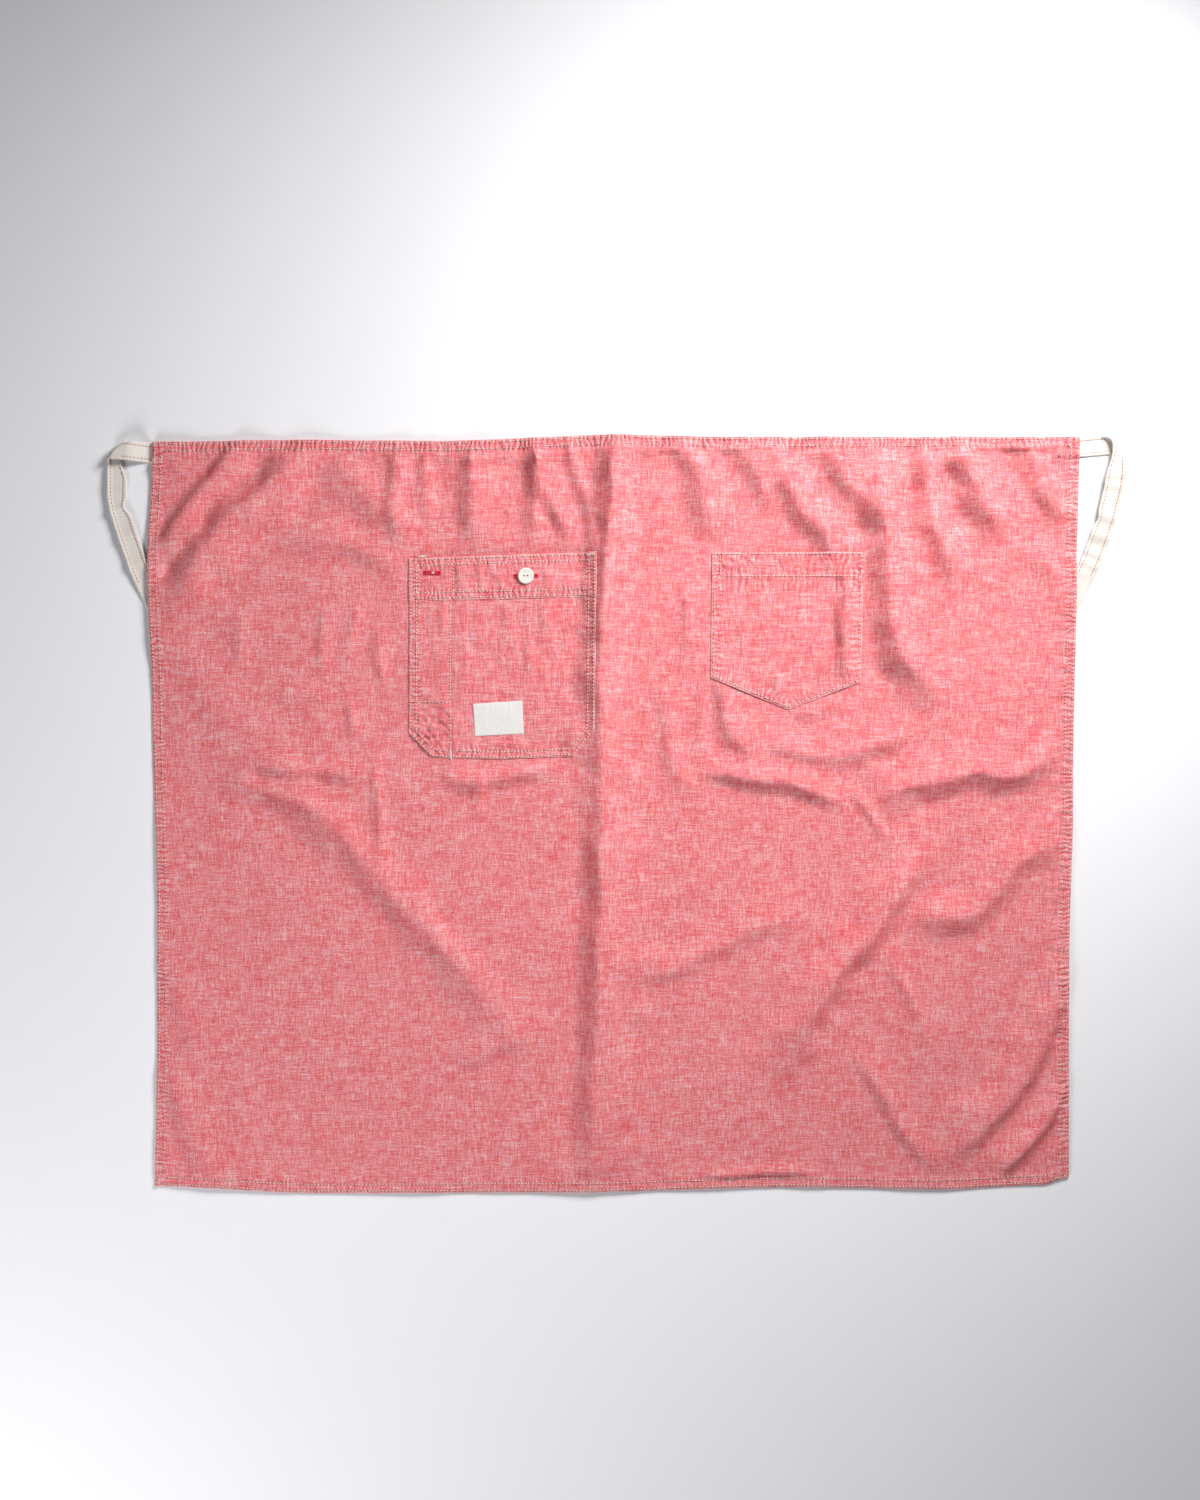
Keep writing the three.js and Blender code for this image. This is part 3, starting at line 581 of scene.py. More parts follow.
def distances(line):
    """How far along a line of points each of them is."""
    steps = np.linalg.norm(np.diff(line, axis=0), axis=1)
    return np.concatenate([[0.0], np.cumsum(steps)])


def resample(line, count):
    """A line of points at even steps along another."""
    run = distances(line)
    even = np.linspace(0.0, run[-1], count)
    return np.column_stack([np.interp(even, run, line[:, k]) for k in range(line.shape[1])])


def along_line(line, x, y):
    """Distance from a line, the side of it that a place is on, and the run along it from 0 to 1."""
    steps = np.diff(line, axis=0)
    lengths = np.hypot(steps[:, 0], steps[:, 1])
    starts = np.concatenate([[0.0], np.cumsum(lengths)])
    nearest = np.full(x.shape, np.inf)
    side = np.zeros(x.shape)
    run = np.zeros(x.shape)
    for k in range(len(steps)):
        ux, uy = steps[k] / lengths[k]
        dx = x - line[k, 0]
        dy = y - line[k, 1]
        t = np.clip(dx * ux + dy * uy, 0.0, lengths[k])
        ex = dx - t * ux
        ey = dy - t * uy
        away = np.hypot(ex, ey)
        closer = away < nearest
        nearest = np.where(closer, away, nearest)
        side = np.where(closer, ux * ey - uy * ex, side)
        run = np.where(closer, starts[k] + t, run)
    return nearest, side, run / starts[-1]


# The cloth's heights

def tie_crests():
    """Crests of the panel where a tie lies under it, and where a tie's end is sewn to it."""
    crests = []
    for tie in TIES.values():
        route = np.array(tie["route"], float)
        last_run = route[-1] - route[-2]
        beyond = route[-1] + last_run * (TIE_OVERRUN / np.linalg.norm(last_run))
        crests.append((spline([*tie["route"], tuple(beyond)], 2 * FOLD_SAMPLES), *TIE_CREST))
        fold = np.array(tie["fold"], float)
        inward = np.array(tie["from"], float) - fold
        reach = np.linalg.norm(inward)
        inner = fold + inward * ((reach + 2 * TAPE_SEWN) / reach)
        crests.append((np.array([fold, inner]), *SEWN_CREST))
    return crests


def crest_rows(rows):
    """Rows of a fold table with their paths worked out."""
    return [(spline(path, FOLD_SAMPLES), *sizes, FOLD_FADE) for path, *sizes in rows]


FOLD_CRESTS = crest_rows(FOLDS)
UNDER_CRESTS = crest_rows(HEM_ROLLS) + tie_crests()
WORK_CRESTS = crest_rows(WORK_CREASES)
BAND_CRESTS = crest_rows(BAND_CREASES)
PATCH_CRESTS = crest_rows(PATCH_CREASES)


def wandered(x, y):
    """Places moved a little, so that no fold is as even as the curve that it follows."""
    for far, size, seed_x, seed_y in FOLD_WANDER:
        x, y = x + far * noise(x, y, size, size, seed_x), y + far * noise(x, y, size, size, seed_y)
    return x, y


def crests_height(crests, x, y):
    """Height of the cloth from a list of crests."""
    swell = 1.0 + FOLD_SWELL * noise(x, y, FOLD_SWELL_SIZE, FOLD_SWELL_SIZE, FOLD_SWELL_SEED)
    x, y = wandered(x, y)
    height = np.zeros(x.shape)
    for line, rise, left, right, sharp, fade in crests:
        reach = max(left, right) * (1.0 + FOLD_SWELL) * (1.0 + FOLD_FLARE)
        low = line.min(axis=0) - reach
        high = line.max(axis=0) + reach
        near = (x > low[0]) & (x < high[0]) & (y > low[1]) & (y < high[1])
        if not near.any():
            continue
        away, side, run = along_line(line, x[near], y[near])
        strength = smooth(run / fade) * smooth((1.0 - run) / fade)
        wide = np.where(side > 0, left, right) * swell[near] * (1.0 + FOLD_FLARE * (1.0 - strength))
        s = np.clip(away / wide, 0.0, 1.0)
        profile = (1.0 - s) ** 2 * (1.0 + 2.0 * s * (1.0 - sharp))
        height[near] += rise * profile * strength
    return height


def crumples(x, y):
    """Small unevenness of unpressed cloth, never below the floor."""
    height = np.full(x.shape, CRUMPLE_LEVEL)
    for wide, tall, rise, seed in CRUMPLES:
        height += rise * noise(x, y, wide, tall, seed)
    return np.maximum(height, 0.0)


def creases(x, y, wide, tall, seed):
    """Sharp creases of that width and height."""
    return CREASE_LEVEL - CREASE_DEPTH * np.abs(noise(x, y, wide, tall, seed))


def rumples(x, y):
    """Small sharp creases of a pocket's cloth, and the crumples at the pen slot's foot."""
    near = np.exp(-((x - SLOT_FOOT[0]) ** 2 + (y - SLOT_FOOT[1]) ** 2) / SLOT_FOOT_REACH ** 2)
    height = SLOT_FOOT_RISE * near * creases(x, y, SLOT_FOOT_CRUMPLE, SLOT_FOOT_CRUMPLE, SLOT_FOOT_SEED)
    for wide, tall, rise, seed in RUMPLES:
        height += rise * creases(x, y, wide, tall, seed)
    return height


def edge_out(edge, at):
    """How far out an edge runs at a place along it."""
    places = np.array([row[0] for row in edge], float)
    outs = np.array([row[1] for row in edge], float)
    k = np.clip(np.searchsorted(places, at) - 1, 0, len(edge) - 2)
    t = (at - places[k]) / (places[k + 1] - places[k])
    return outs[k] + (outs[k + 1] - outs[k]) * smooth(t)


def hem_distances(x, y):
    """How far in from each of the panel's edges a place is: left, right, foot, waist."""
    return (
        x - edge_out(LEFT_EDGE, y),
        edge_out(RIGHT_EDGE, y) - x,
        y - edge_out(FOOT_EDGE, x),
        edge_out(WAIST_EDGE, x) - y,
    )


def ribs(away, run, seed):
    """Ribs across a sewn seam, level on average: whole between its stitches, and gone a little way in."""
    fade = smooth(away / PUCKER_START) * smooth((PUCKER_RUN - away) / (PUCKER_RUN - PUCKER_WHOLE))
    varied = PUCKER_VARIES * noise(run, 0.0 * run, PUCKER_VARIES_SIZE, 1.0, seed + PUCKER_VARIES_SEED)
    strength = np.clip(PUCKER_STRENGTH + varied, *PUCKER_LIMITS)
    turns = run / PUCKER_PITCH + PUCKER_STRAY * noise(run, away, *PUCKER_STRAY_SIZE, seed)
    return fade * strength * (2.0 * np.abs(np.sin(math.pi * turns)) - PUCKER_MEAN)


def worn_and_shaded(away, ribbed):
    """How much paler the cloth is at a folded edge and on its ribs' crests, which is wear, and how much
    darker it is between the ribs, which is painted shade.
    """
    return WEAR_EDGE * (1.0 - smooth(away / WEAR_EDGE_REACH)) + RIB_WEAR_AND_SHADE * ribbed


def drag(away, run, depth, seed):
    """Creases that run from a hem into the cloth and die away there."""
    fade = smooth(away / DRAG_START) * smooth((DRAG_RUN - away) / DRAG_RUN)
    return depth * fade * noise(run, away, DRAG_PITCH, DRAG_STRETCH * DRAG_PITCH, seed)


def rim_curve(away):
    """From 0 at an edge to 1, as a quarter circle."""
    t = np.clip(away / RIM_RADIUS, 0.0, 1.0)
    return np.sqrt(1.0 - (1.0 - t) ** 2)


def rim_round(away):
    """From little at a folded edge to 1 where the cloth has its whole thickness."""
    return RIM_START + (1.0 - RIM_START) * rim_curve(away)


def cloth_under(x, y):
    """Height of the panel's underside."""
    rim = np.min(hem_distances(x, y), axis=0)
    settled = HEM_SETTLE + (1.0 - HEM_SETTLE) * smooth((rim - HEM_SETTLE_FROM) / HEM_SETTLE_REACH)
    return crests_height(FOLD_CRESTS, x, y) * settled + crests_height(UNDER_CRESTS, x, y) + crumples(x, y)


def hem_sides(x, y):
    """For each of the panel's hems: how far in from it a place is, the run along it, and its sizes."""
    return zip(hem_distances(x, y), (y, y, x, x), HEMS)


def panel_top(x, y):
    """Height of the panel's upper face, with its hems and their puckers."""
    rim = np.min(hem_distances(x, y), axis=0)
    hem = step_down(rim, HEM_DEPTH, HEM_STEP)
    thickness = CLOTH + HEM_EXTRA * hem
    shape = np.zeros(x.shape)
    for away, run, (pucker, _, pull, rib_seed, drag_seed) in hem_sides(x, y):
        shape += pucker * ribs(away, run, rib_seed) + drag(away, run, pull, drag_seed)
    return cloth_under(x, y) + thickness * rim_round(rim) + np.maximum(shape, -HEM_PRESS * thickness)


def panel_wear_and_shade(x, y):
    """How worn the panel is at its hems, and the painted shade between their ribs."""
    ribbed = np.zeros(x.shape)
    for away, run, (_, wear_and_shade, _, rib_seed, _) in hem_sides(x, y):
        ribbed += wear_and_shade * ribs(away, run, rib_seed)
    return worn_and_shaded(np.min(hem_distances(x, y), axis=0), ribbed)


def panel_under(x, y):
    """Height of the panel's coarse underside, below every fold near each of its points."""
    return np.min(around(cloth_under, x, y, UNDER_REACH), axis=0)


def seam_place(outline, x, y):
    """Distance in from a pocket's outline, and the run along it in millimetres."""
    line = np.array([*outline, outline[0]], float)
    away, _, run = along_line(line, x, y)
    return away, run * distances(line)[-1]


def seam_wear_and_shade(outline, seed):
    """How worn a pocket is at its seams, with painted shade between their ribs, as a function of the place.
    """
    def wear_and_shade(x, y):
        away, run = seam_place(outline, x, y)
        return worn_and_shaded(away, ribs(away, run, seed))

    return wear_and_shade


def pocket_base(outline, x, y):
    """Height of a pocket's underside: on the panel at its seams, and standing off it at its middle."""
    corners = np.array(outline, float)
    low = corners.min(axis=0)
    high = corners.max(axis=0)
    from_side = np.minimum(np.minimum(x - low[0], high[0] - x), y - low[1])
    puff = POCKET_PUFF * smooth(from_side / POCKET_PUFF_REACH)
    return cloth_under(x, y) + CLOTH + SEAM_GAP + puff


def pen_seam_dip(x, y):
    """How far the pen slot's seam pulls the pocket down."""
    away, _, _ = along_line(np.array(PEN_SEAM, float), x, y)
    return PEN_SEAM_DIP * (1.0 - smooth(away / PEN_SEAM_REACH))


def work_top(x, y):
    """Height of the left pocket's upper face."""
    away, run = seam_place(WORK_POCKET, x, y)
    shape = crests_height(WORK_CRESTS, x, y) + POCKET_PUCKER * ribs(away, run, WORK_SEED) + rumples(x, y)
    thickness = POCKET_CLOTH + TURN_IN_RISE * step_down(away, TURN_IN, TURN_IN_STEP)
    lift = thickness * rim_round(away) + shape * smooth(away / SEAM_FREE)
    return pocket_base(WORK_POCKET, x, y) + lift - pen_seam_dip(x, y)


def band_base(x, y):
    """Height of the band's underside."""
    return pocket_base(WORK_POCKET, x, y) + POCKET_CLOTH + TURN_IN_RISE - BAND_SINK


def band_top(x, y):
    """Height of the upper face of the band at the left pocket's mouth."""
    away, run = seam_place(WORK_BAND, x, y)
    shape = crests_height(BAND_CRESTS, x, y) + BAND_PUCKER * ribs(away, run, BAND_SEED)
    shape = shape + BAND_RUMPLE * rumples(x, y)
    lift = BAND_CLOTH * rim_round(away) + shape * smooth(away / SEAM_FREE)
    return band_base(x, y) + lift - pen_seam_dip(x, y)


def pocket_front(x, y):
    """Height of the left pocket's front, band and all."""
    return np.where(y > WORK_BAND[3][1] + BAND_FRONT, band_top(x, y), work_top(x, y))


def patch_top(x, y):
    """Height of the right pocket's upper face, thicker in the hem at its mouth."""
    away, run = seam_place(PATCH_POCKET, x, y)
    from_mouth = PATCH_POCKET[0][1] - y
    hem = PATCH_HEM_EXTRA * step_down(from_mouth, PATCH_HEM_DEPTH, PATCH_HEM_STEP)
    turned = TURN_IN_RISE * step_down(away, PATCH_TURN_IN, TURN_IN_STEP)
    ribbed = ribs(away, run, PATCH_SEED) + ribs(np.abs(from_mouth - PATCH_HEM_DEPTH), x, PATCH_HEM_SEED)
    shape = crests_height(PATCH_CRESTS, x, y) + PATCH_PUCKER * ribbed + PATCH_RUMPLE * rumples(x, y)
    thickness = POCKET_CLOTH + np.maximum(turned, hem)
    return pocket_base(PATCH_POCKET, x, y) + thickness * rim_round(away) + shape * smooth(away / SEAM_FREE)


def patch_wear_and_shade(x, y):
    """How worn the right pocket is at its seams and along the foot of its hem, with painted shade between
    the ribs.
    """
    away, run = seam_place(PATCH_POCKET, x, y)
    from_hem = np.abs(PATCH_POCKET[0][1] - y - PATCH_HEM_DEPTH)
    return worn_and_shaded(away, ribs(away, run, PATCH_SEED) + ribs(from_hem, x, PATCH_HEM_SEED))


def label_base(x, y):
    """Height of the label's underside."""
    return work_top(x, y) + LABEL_GAP


def label_top(x, y):
    """Height of the label's upper face."""
    away, _ = seam_place(LABEL, x, y)
    level = np.mean(around(work_top, x, y, LABEL_SPAN), axis=0)
    lifted = np.maximum(level + LABEL_LIFT, work_top(x, y) + LABEL_LEAST)
    return label_base(x, y) + (lifted - label_base(x, y)) * rim_round(away)


# Meshes

def add_object(name, data):
    """An object in the scene that holds the data."""
    made = bpy.data.objects.new(name, data)
    bpy.context.scene.collection.objects.link(made)
    return made


def add_piece(name, points, faces, material, slot):
    """A smooth mesh piece from points in millimetres, fixed to the apron."""
    mesh = bpy.data.meshes.new(name)
    mesh.from_pydata((np.asarray(points, float) * MM).tolist(), [], faces)
    mesh.shade_smooth()
    mesh.materials.append(material)
    mesh.update()
    piece = add_object(name, mesh)
    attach(piece, "root")
    return piece


def block_faces(columns, rows, step):
    """Corners of the cells of a lattice, step by step. A cell on its rim keeps every point of the rim."""
    first_i, last_i = columns
    first_j, last_j = rows
    cells = []
    for i0 in range(first_i, last_i, step):
        i1 = min(i0 + step, last_i)
        for j0 in range(first_j, last_j, step):
            j1 = min(j0 + step, last_j)
            south = range(i0, i1) if j0 == first_j else (i0,)
            east = range(j0, j1) if i1 == last_i else (j0,)
            north = range(i1, i0, -1) if j1 == last_j else (i1,)
            west = range(j1, j0, -1) if i0 == first_i else (j1,)
            cells.append([(i, j0) for i in south] + [(i1, j) for j in east]
                         + [(i, j1) for i in north] + [(i0, j) for j in west])
    return cells


def tube_faces(rings, sides):
    """Faces between the rings of a tube."""
    faces = []
    for ring in range(rings - 1):
        for k in range(sides):
            a = ring * sides + k
            b = ring * sides + (k + 1) % sides
            faces.append((a, a + sides, b + sides, b))
    return faces


def cloth_piece(name, place, lattice, upper, lower, material, wear_and_shade=None, field=None,
                under_step=POCKET_UNDER_CELLS, slot="chambray"):
    """A closed sheet over a lattice of marks from 0 to 1. field is (border, step): inside that many marks
    of border, the upper face is made of step by step cells. The underside is coarser. wear_and_shade says
    how worn the upper face is, and where shade is painted between its ribs."""
    columns, rows = lattice
    last_i = len(columns) - 1
    last_j = len(rows) - 1
    if field is None:
        upper_cells = block_faces((0, last_i), (0, last_j), 1)
    else:
        border, step = field
        inner_i = (border, last_i - border)
        inner_j = (border, last_j - border)
        upper_cells = block_faces(inner_i, inner_j, step)
        upper_cells += block_faces((0, last_i), (0, border), 1)
        upper_cells += block_faces((0, last_i), (last_j - border, last_j), 1)
        upper_cells += block_faces((0, border), inner_j, 1)
        upper_cells += block_faces((last_i - border, last_i), inner_j, 1)
    under_cells = block_faces((0, last_i), (0, last_j), under_step)

    u, v = np.meshgrid(columns, rows, indexing="ij")
    x, y = place(u, v)
    spots = {}
    points = []
    faces = []

    def corner(level, i, j):
        on_rim = i in (0, last_i) or j in (0, last_j)
        key = (0 if on_rim else level, i, j)
        if key not in spots:
            spots[key] = len(points)
            points.append((x[i, j], y[i, j]))
        return spots[key]

    for cell in upper_cells:
        faces.append([corner(0, i, j) for i, j in cell])
    upper_count = len(points)
    for cell in under_cells:
        faces.append([corner(1, i, j) for i, j in reversed(cell)])
    flat = np.array(points)
    px = flat[:, 0]
    py = flat[:, 1]
    height = np.empty(len(flat))
    height[:upper_count] = upper(px[:upper_count], py[:upper_count])
    height[upper_count:] = lower(px[upper_count:], py[upper_count:])
    piece = add_piece(name, np.column_stack([flat, height]), faces, material, slot)
    if wear_and_shade is not None:
        values = np.zeros(len(flat))
        values[:upper_count] = wear_and_shade(px[:upper_count], py[:upper_count])
        piece.data.attributes.new("wear_and_shade", "FLOAT", "POINT").data.foreach_set("value", values)
    return piece


def rim_marks(span, step, rim):
    """Marks from 0 to 1 across a span, close at both ends for a round folded edge."""
    inner = rim[-1]
    count = max(2, round((span - 2 * inner) / step))
    middle = np.linspace(inner, span - inner, count + 1)
    ends = np.array([0.0, *rim[:-1]])
    return np.concatenate([ends, middle, span - ends[::-1]]) / span


def rim_lattice(wide, tall, step):
    """Marks across and up a sheet with folded edges."""
    return rim_marks(wide, step, CLOTH_RIM), rim_marks(tall, step, CLOTH_RIM)


def panel_marks(span):
    """Marks from 0 to 1 across the panel: close across its hems, and even between them."""
    border = np.array(HEM_MARKS)
    inner = border[-1]
    count = FIELD_CELLS * round((span - 2 * inner) / (FIELD_CELLS * FIELD_STEP))
    middle = np.linspace(inner, span - inner, count + 1)
    return np.concatenate([border[:-1], middle, span - border[-2::-1]]) / span


def panel_place(u, v):
    """A place on the panel from marks across and up it."""
    level = FOOT_EDGE[0][1] + (WAIST_EDGE[0][1] - FOOT_EDGE[0][1]) * v
    left = edge_out(LEFT_EDGE, level)
    x = left + (edge_out(RIGHT_EDGE, level) - left) * u
    foot = edge_out(FOOT_EDGE, x)
    return x, foot + (edge_out(WAIST_EDGE, x) - foot) * v


def pocket_place(outline, foot_corners, levels):
    """A place in a pocket from marks across and up it."""
    first, last = foot_corners
    low, high = levels
    top = outline[:2]
    foot = outline[first:last + 1][::-1]
    left = [(low, foot[0][0]), *[(y, x) for x, y in outline[last + 1:]], (high, top[0][0])]
    right = [(low, foot[-1][0]), *[(y, x) for x, y in outline[2:first][::-1]], (high, top[-1][0])]

    def out(side, at):
        return np.interp(at, *np.transpose(side))

    def place(u, v):
        level = low + (high - low) * v
        x = out(left, level) + (out(right, level) - out(left, level)) * u
        return x, out(foot, x) + (out(top, x) - out(foot, x)) * v

    return place


def corners_place(corners):
    """A place in a four-cornered sheet from marks across and up it."""
    top_left, top_right, foot_right, foot_left = (np.array(c, float) for c in corners)

    def place(u, v):
        spot = [
            (foot_left[k] * (1 - u) + foot_right[k] * u) * (1 - v)
            + (top_left[k] * (1 - u) + top_right[k] * u) * v
            for k in (0, 1)
        ]
        return spot[0], spot[1]

    return place


# Ties

def tie_surface(tie):
    """The middle of a tie's tape as a function of the run past its fold and the place across it, and the
    lengths of the run before and after the fold."""
    fold = np.array(tie["fold"], float)
    before = fold - np.array(tie["from"], float)
    leaving = np.linalg.norm(before)
    before /= leaving
    line = spline([tie["fold"], *tie["route"]], TIE_SAMPLES)
    run = np.linspace(0.0, distances(line)[-1], TIE_SAMPLES)
    tangents = unit(np.gradient(line, run, axis=0))
    outward = unit(before - tangents[0])
    half_roll = math.pi * ROLL_RADIUS / 2

    def across(direction):
        return np.stack([-direction[..., 1], direction[..., 0]], axis=-1)

    def on_route(values, u):
        return np.stack([np.interp(u, run, values[:, k]) for k in (0, 1)], axis=-1)

    def lift(u):
        rising = smooth((u + leaving - ROLL_START) / (leaving - ROLL_ZONE / 2))
        rolled_up = -2 * ROLL_RADIUS + (2 * ROLL_RADIUS + ROLL_LIFT) * rising
        landed = smooth((TIE_LANDING - u) / (TIE_LANDING - ROLL_ZONE))
        if tie["over"]:
            return np.where(u <= 0, 0.0, 2 * ROLL_RADIUS * (landed - 1.0))
        return np.where(u <= 0, rolled_up, ROLL_LIFT * landed)

    def middle(u, v):
        straight = fold + before * u[..., None] + across(before) * v[..., None]
        past_fold = np.maximum(u, 0.0)
        bent = on_route(line, past_fold) - across(on_route(tangents, past_fold)) * v[..., None]
        bent = bent - 2 * ((bent - fold) @ outward)[..., None] * outward
        flat = np.where((u <= 0)[..., None], straight, bent)
        along_fold = (flat - fold) @ across(outward)
        bulge = TIE_BULGE * np.maximum(0.0, 1.0 - (along_fold / TIE_BULGE_HALF) ** 2)
        past = (flat - fold) @ outward + half_roll - bulge
        turn = np.clip(past / ROLL_RADIUS, 0.0, math.pi)
        beyond = np.maximum(0.0, past - 2 * half_roll)
        shift = ROLL_RADIUS * np.sin(turn) - beyond - np.maximum(0.0, past)
        spot = flat + shift[..., None] * outward
        upper = -1.0 if tie["over"] else 1.0
        height = ROLL_RADIUS * (1.0 + upper * np.cos(turn)) + lift(u) + TAPE_THICKNESS / 2
        return np.concatenate([spot, (height + tie_creases(tie, u, v))[..., None]], axis=-1)

    return middle, leaving, run[-1]


def tie_creases(tie, u, v):
    """How far a tie's tape stands up where it is bent across, and where its edge curls, past its fold."""
    height = np.zeros(u.shape)
    for at, rise, reach in tie["creases"]:
        stray = TIE_CREASE_STRAY * noise(np.full(u.shape, at), v, 1.0, TIE_CREASE_STRAY_SIZE, tie["seed"])
        height += rise * (1.0 - smooth(np.abs(u - at + stray) / reach))
    to_edge = tie["curled"] * v / (TAPE_WIDTH / 2)
    height += TIE_CURL * smooth((to_edge - TIE_CURL_FROM) / (1.0 - TIE_CURL_FROM))
    begun = smooth((u - TIE_CREASE_FROM) / TIE_CREASE_RISE)
    return height * begun * smooth((TIE_LANDING - u) / TIE_CREASE_END)


def tie_across(tie, u, v):
    """The place across a tie with its nick: one edge drawn in for a little way."""
    at, depth, reach = tie["nick"]
    drawn = depth * np.exp(-((u - at) / reach) ** 2)
    inner = smooth(-tie["curled"] * v / (TAPE_WIDTH / 2))
    return v + tie["curled"] * drawn * inner


def tie_faces(tie, u, v):
    """Points of both faces of a tie's tape, with its thicker folded edges."""
    middle, _, _ = tie_surface(tie)
    across = tie_across(tie, u, v)
    nudge = 0.05
    along = middle(u + nudge, across) - middle(u - nudge, across)
    sideways = middle(u, across + nudge) - middle(u, across - nudge)
    normal = unit(np.cross(along, sideways))
    from_edge = TAPE_WIDTH / 2 - np.abs(v)
    hem = TIE_HEM_RISE * step_down(from_edge, TIE_HEM, TIE_HEM_STEP)
    half = (TAPE_THICKNESS / 2 + hem) * rim_curve(from_edge)
    spot = middle(u, across)
    spot[..., 2] += TIE_HEM_RISE
    return spot + normal * half[..., None], spot - normal * half[..., None]


def tie_piece(name, tie, material):
    """A closed tape: its upper face as it leaves the panel, and its other face, joined along both edges."""
    _, leaving, length = tie_surface(tie)
    stops = (-leaving - TAPE_SEWN, *ROLL_STRETCH, TIE_LANDING, length - TIE_END_GAP)
    stations = np.concatenate([np.arange(*span) for span in zip(stops[:-1], stops[1:], TIE_STEPS)])
    marks = (rim_marks(TAPE_WIDTH, TAPE_STEP, TAPE_RIM) - 0.5) * TAPE_WIDTH
    u, v = np.meshgrid(stations, marks, indexing="ij")
    first, second = tie_faces(tie, u, v)
    ring = np.concatenate([first, second[:, -2:0:-1]], axis=1)
    sides = ring.shape[1]
    faces = tube_faces(len(stations), sides)
    for i, turned in ((0, False), (len(stations) - 1, True)):
        for k in range(len(marks) - 1):
            upper = (i * sides + k, i * sides + k + 1)
            lower = (i * sides + (sides - k - 1) % sides, i * sides + (sides - k) % sides)
            cell = list(dict.fromkeys((*upper, *lower)))
            faces.append(tuple(reversed(cell)) if turned else tuple(cell))
    return add_piece(name, ring.reshape(-1, 3), faces, material, "cotton_tape")


def tie_stitch_ends(tie):
    """Both ends of each stitch along a tie's edges, on the faces that show."""
    _, leaving, _ = tie_surface(tie)
    before, after = TIE_STITCH_FOLD
    shown = ((0, -leaving + TIE_STITCH_START, before), (1, after, TIE_LANDING - TIE_STITCH_END))
    starts = []
    ends = []
    for edge in (-1, 1):
        for face, first, last in shown:
            at = np.arange(first, last, STITCH_PITCH)
            v = np.full(at.shape, edge * (TAPE_WIDTH / 2 - TIE_STITCH_IN))
            starts.append(tie_faces(tie, at, v)[face])
            ends.append(tie_faces(tie, at + TIE_STITCH_LENGTH, v)[face])
    return np.vstack(starts), np.vstack(ends)


# Button

def button_piece(material):
    """A round shell button with a raised rim, and two holes sunk in its middle."""
    fine = spline([(r * BUTTON_RADIUS, z) for r, z in BUTTON_PROFILE], BUTTON_RINGS)
    angles = np.linspace(0.0, 2 * math.pi, BUTTON_SIDES, endpoint=False)
    rings = fine[1:-1]
    x = rings[:, :1] * np.cos(angles)
    y = rings[:, :1] * np.sin(angles)
    z = np.repeat(rings[:, 1:], BUTTON_SIDES, axis=1)
    top = np.arange(len(rings))[:, None] < len(rings) // 2
    for side in (-1, 1):
        from_hole = np.hypot(x - side * BUTTON_HOLE_OUT, y)
        pit = smooth((BUTTON_HOLE_RADIUS - from_hole) / BUTTON_HOLE_EDGE + 0.5)
        z = z - np.where(top, BUTTON_HOLE_DEPTH * pit, 0.0)
    points = np.column_stack([x.ravel(), y.ravel(), z.ravel()])
    points = np.vstack([points, [(0.0, 0.0, fine[0, 1]), (0.0, 0.0, fine[-1, 1])]])
    points += [*MAIN_BUTTONHOLE, button_level()]
    faces = tube_faces(len(rings), BUTTON_SIDES)
    last = (len(rings) - 1) * BUTTON_SIDES
    crown = len(points) - 2
    for k in range(BUTTON_SIDES):
        n = (k + 1) % BUTTON_SIDES
        faces.append((crown, k, n))
        faces.append((crown + 1, last + n, last + k))
    return add_piece("button_shell_piece", points, faces, material, "button_shell")


def button_level():
    """Height that the button rests at, on the highest cloth under it."""
    reach = np.linspace(-BUTTON_RADIUS, BUTTON_RADIUS, BUTTON_TRIES)
    x, y = np.meshgrid(MAIN_BUTTONHOLE[0] + reach, MAIN_BUTTONHOLE[1] + reach)
    inside = np.hypot(x - MAIN_BUTTONHOLE[0], y - MAIN_BUTTONHOLE[1]) < BUTTON_REST * BUTTON_RADIUS
    return float(band_top(x[inside], y[inside]).max())


def button_thread_ends():
    """Both ends of the threads that show in the button's holes."""
    level = button_level() + BUTTON_PROFILE[0][1] - BUTTON_THREAD_DEPTH * BUTTON_HOLE_DEPTH
    starts = []
    ends = []
    for side in (-1, 1):
        for shift in BUTTON_THREAD_SHIFTS:
            x = MAIN_BUTTONHOLE[0] + side * BUTTON_HOLE_OUT
            y = MAIN_BUTTONHOLE[1] + shift
            starts.append((x - BUTTON_THREAD_HALF, y, level))
            ends.append((x + BUTTON_THREAD_HALF, y, level))
    return starts, ends


# Stitches and threads

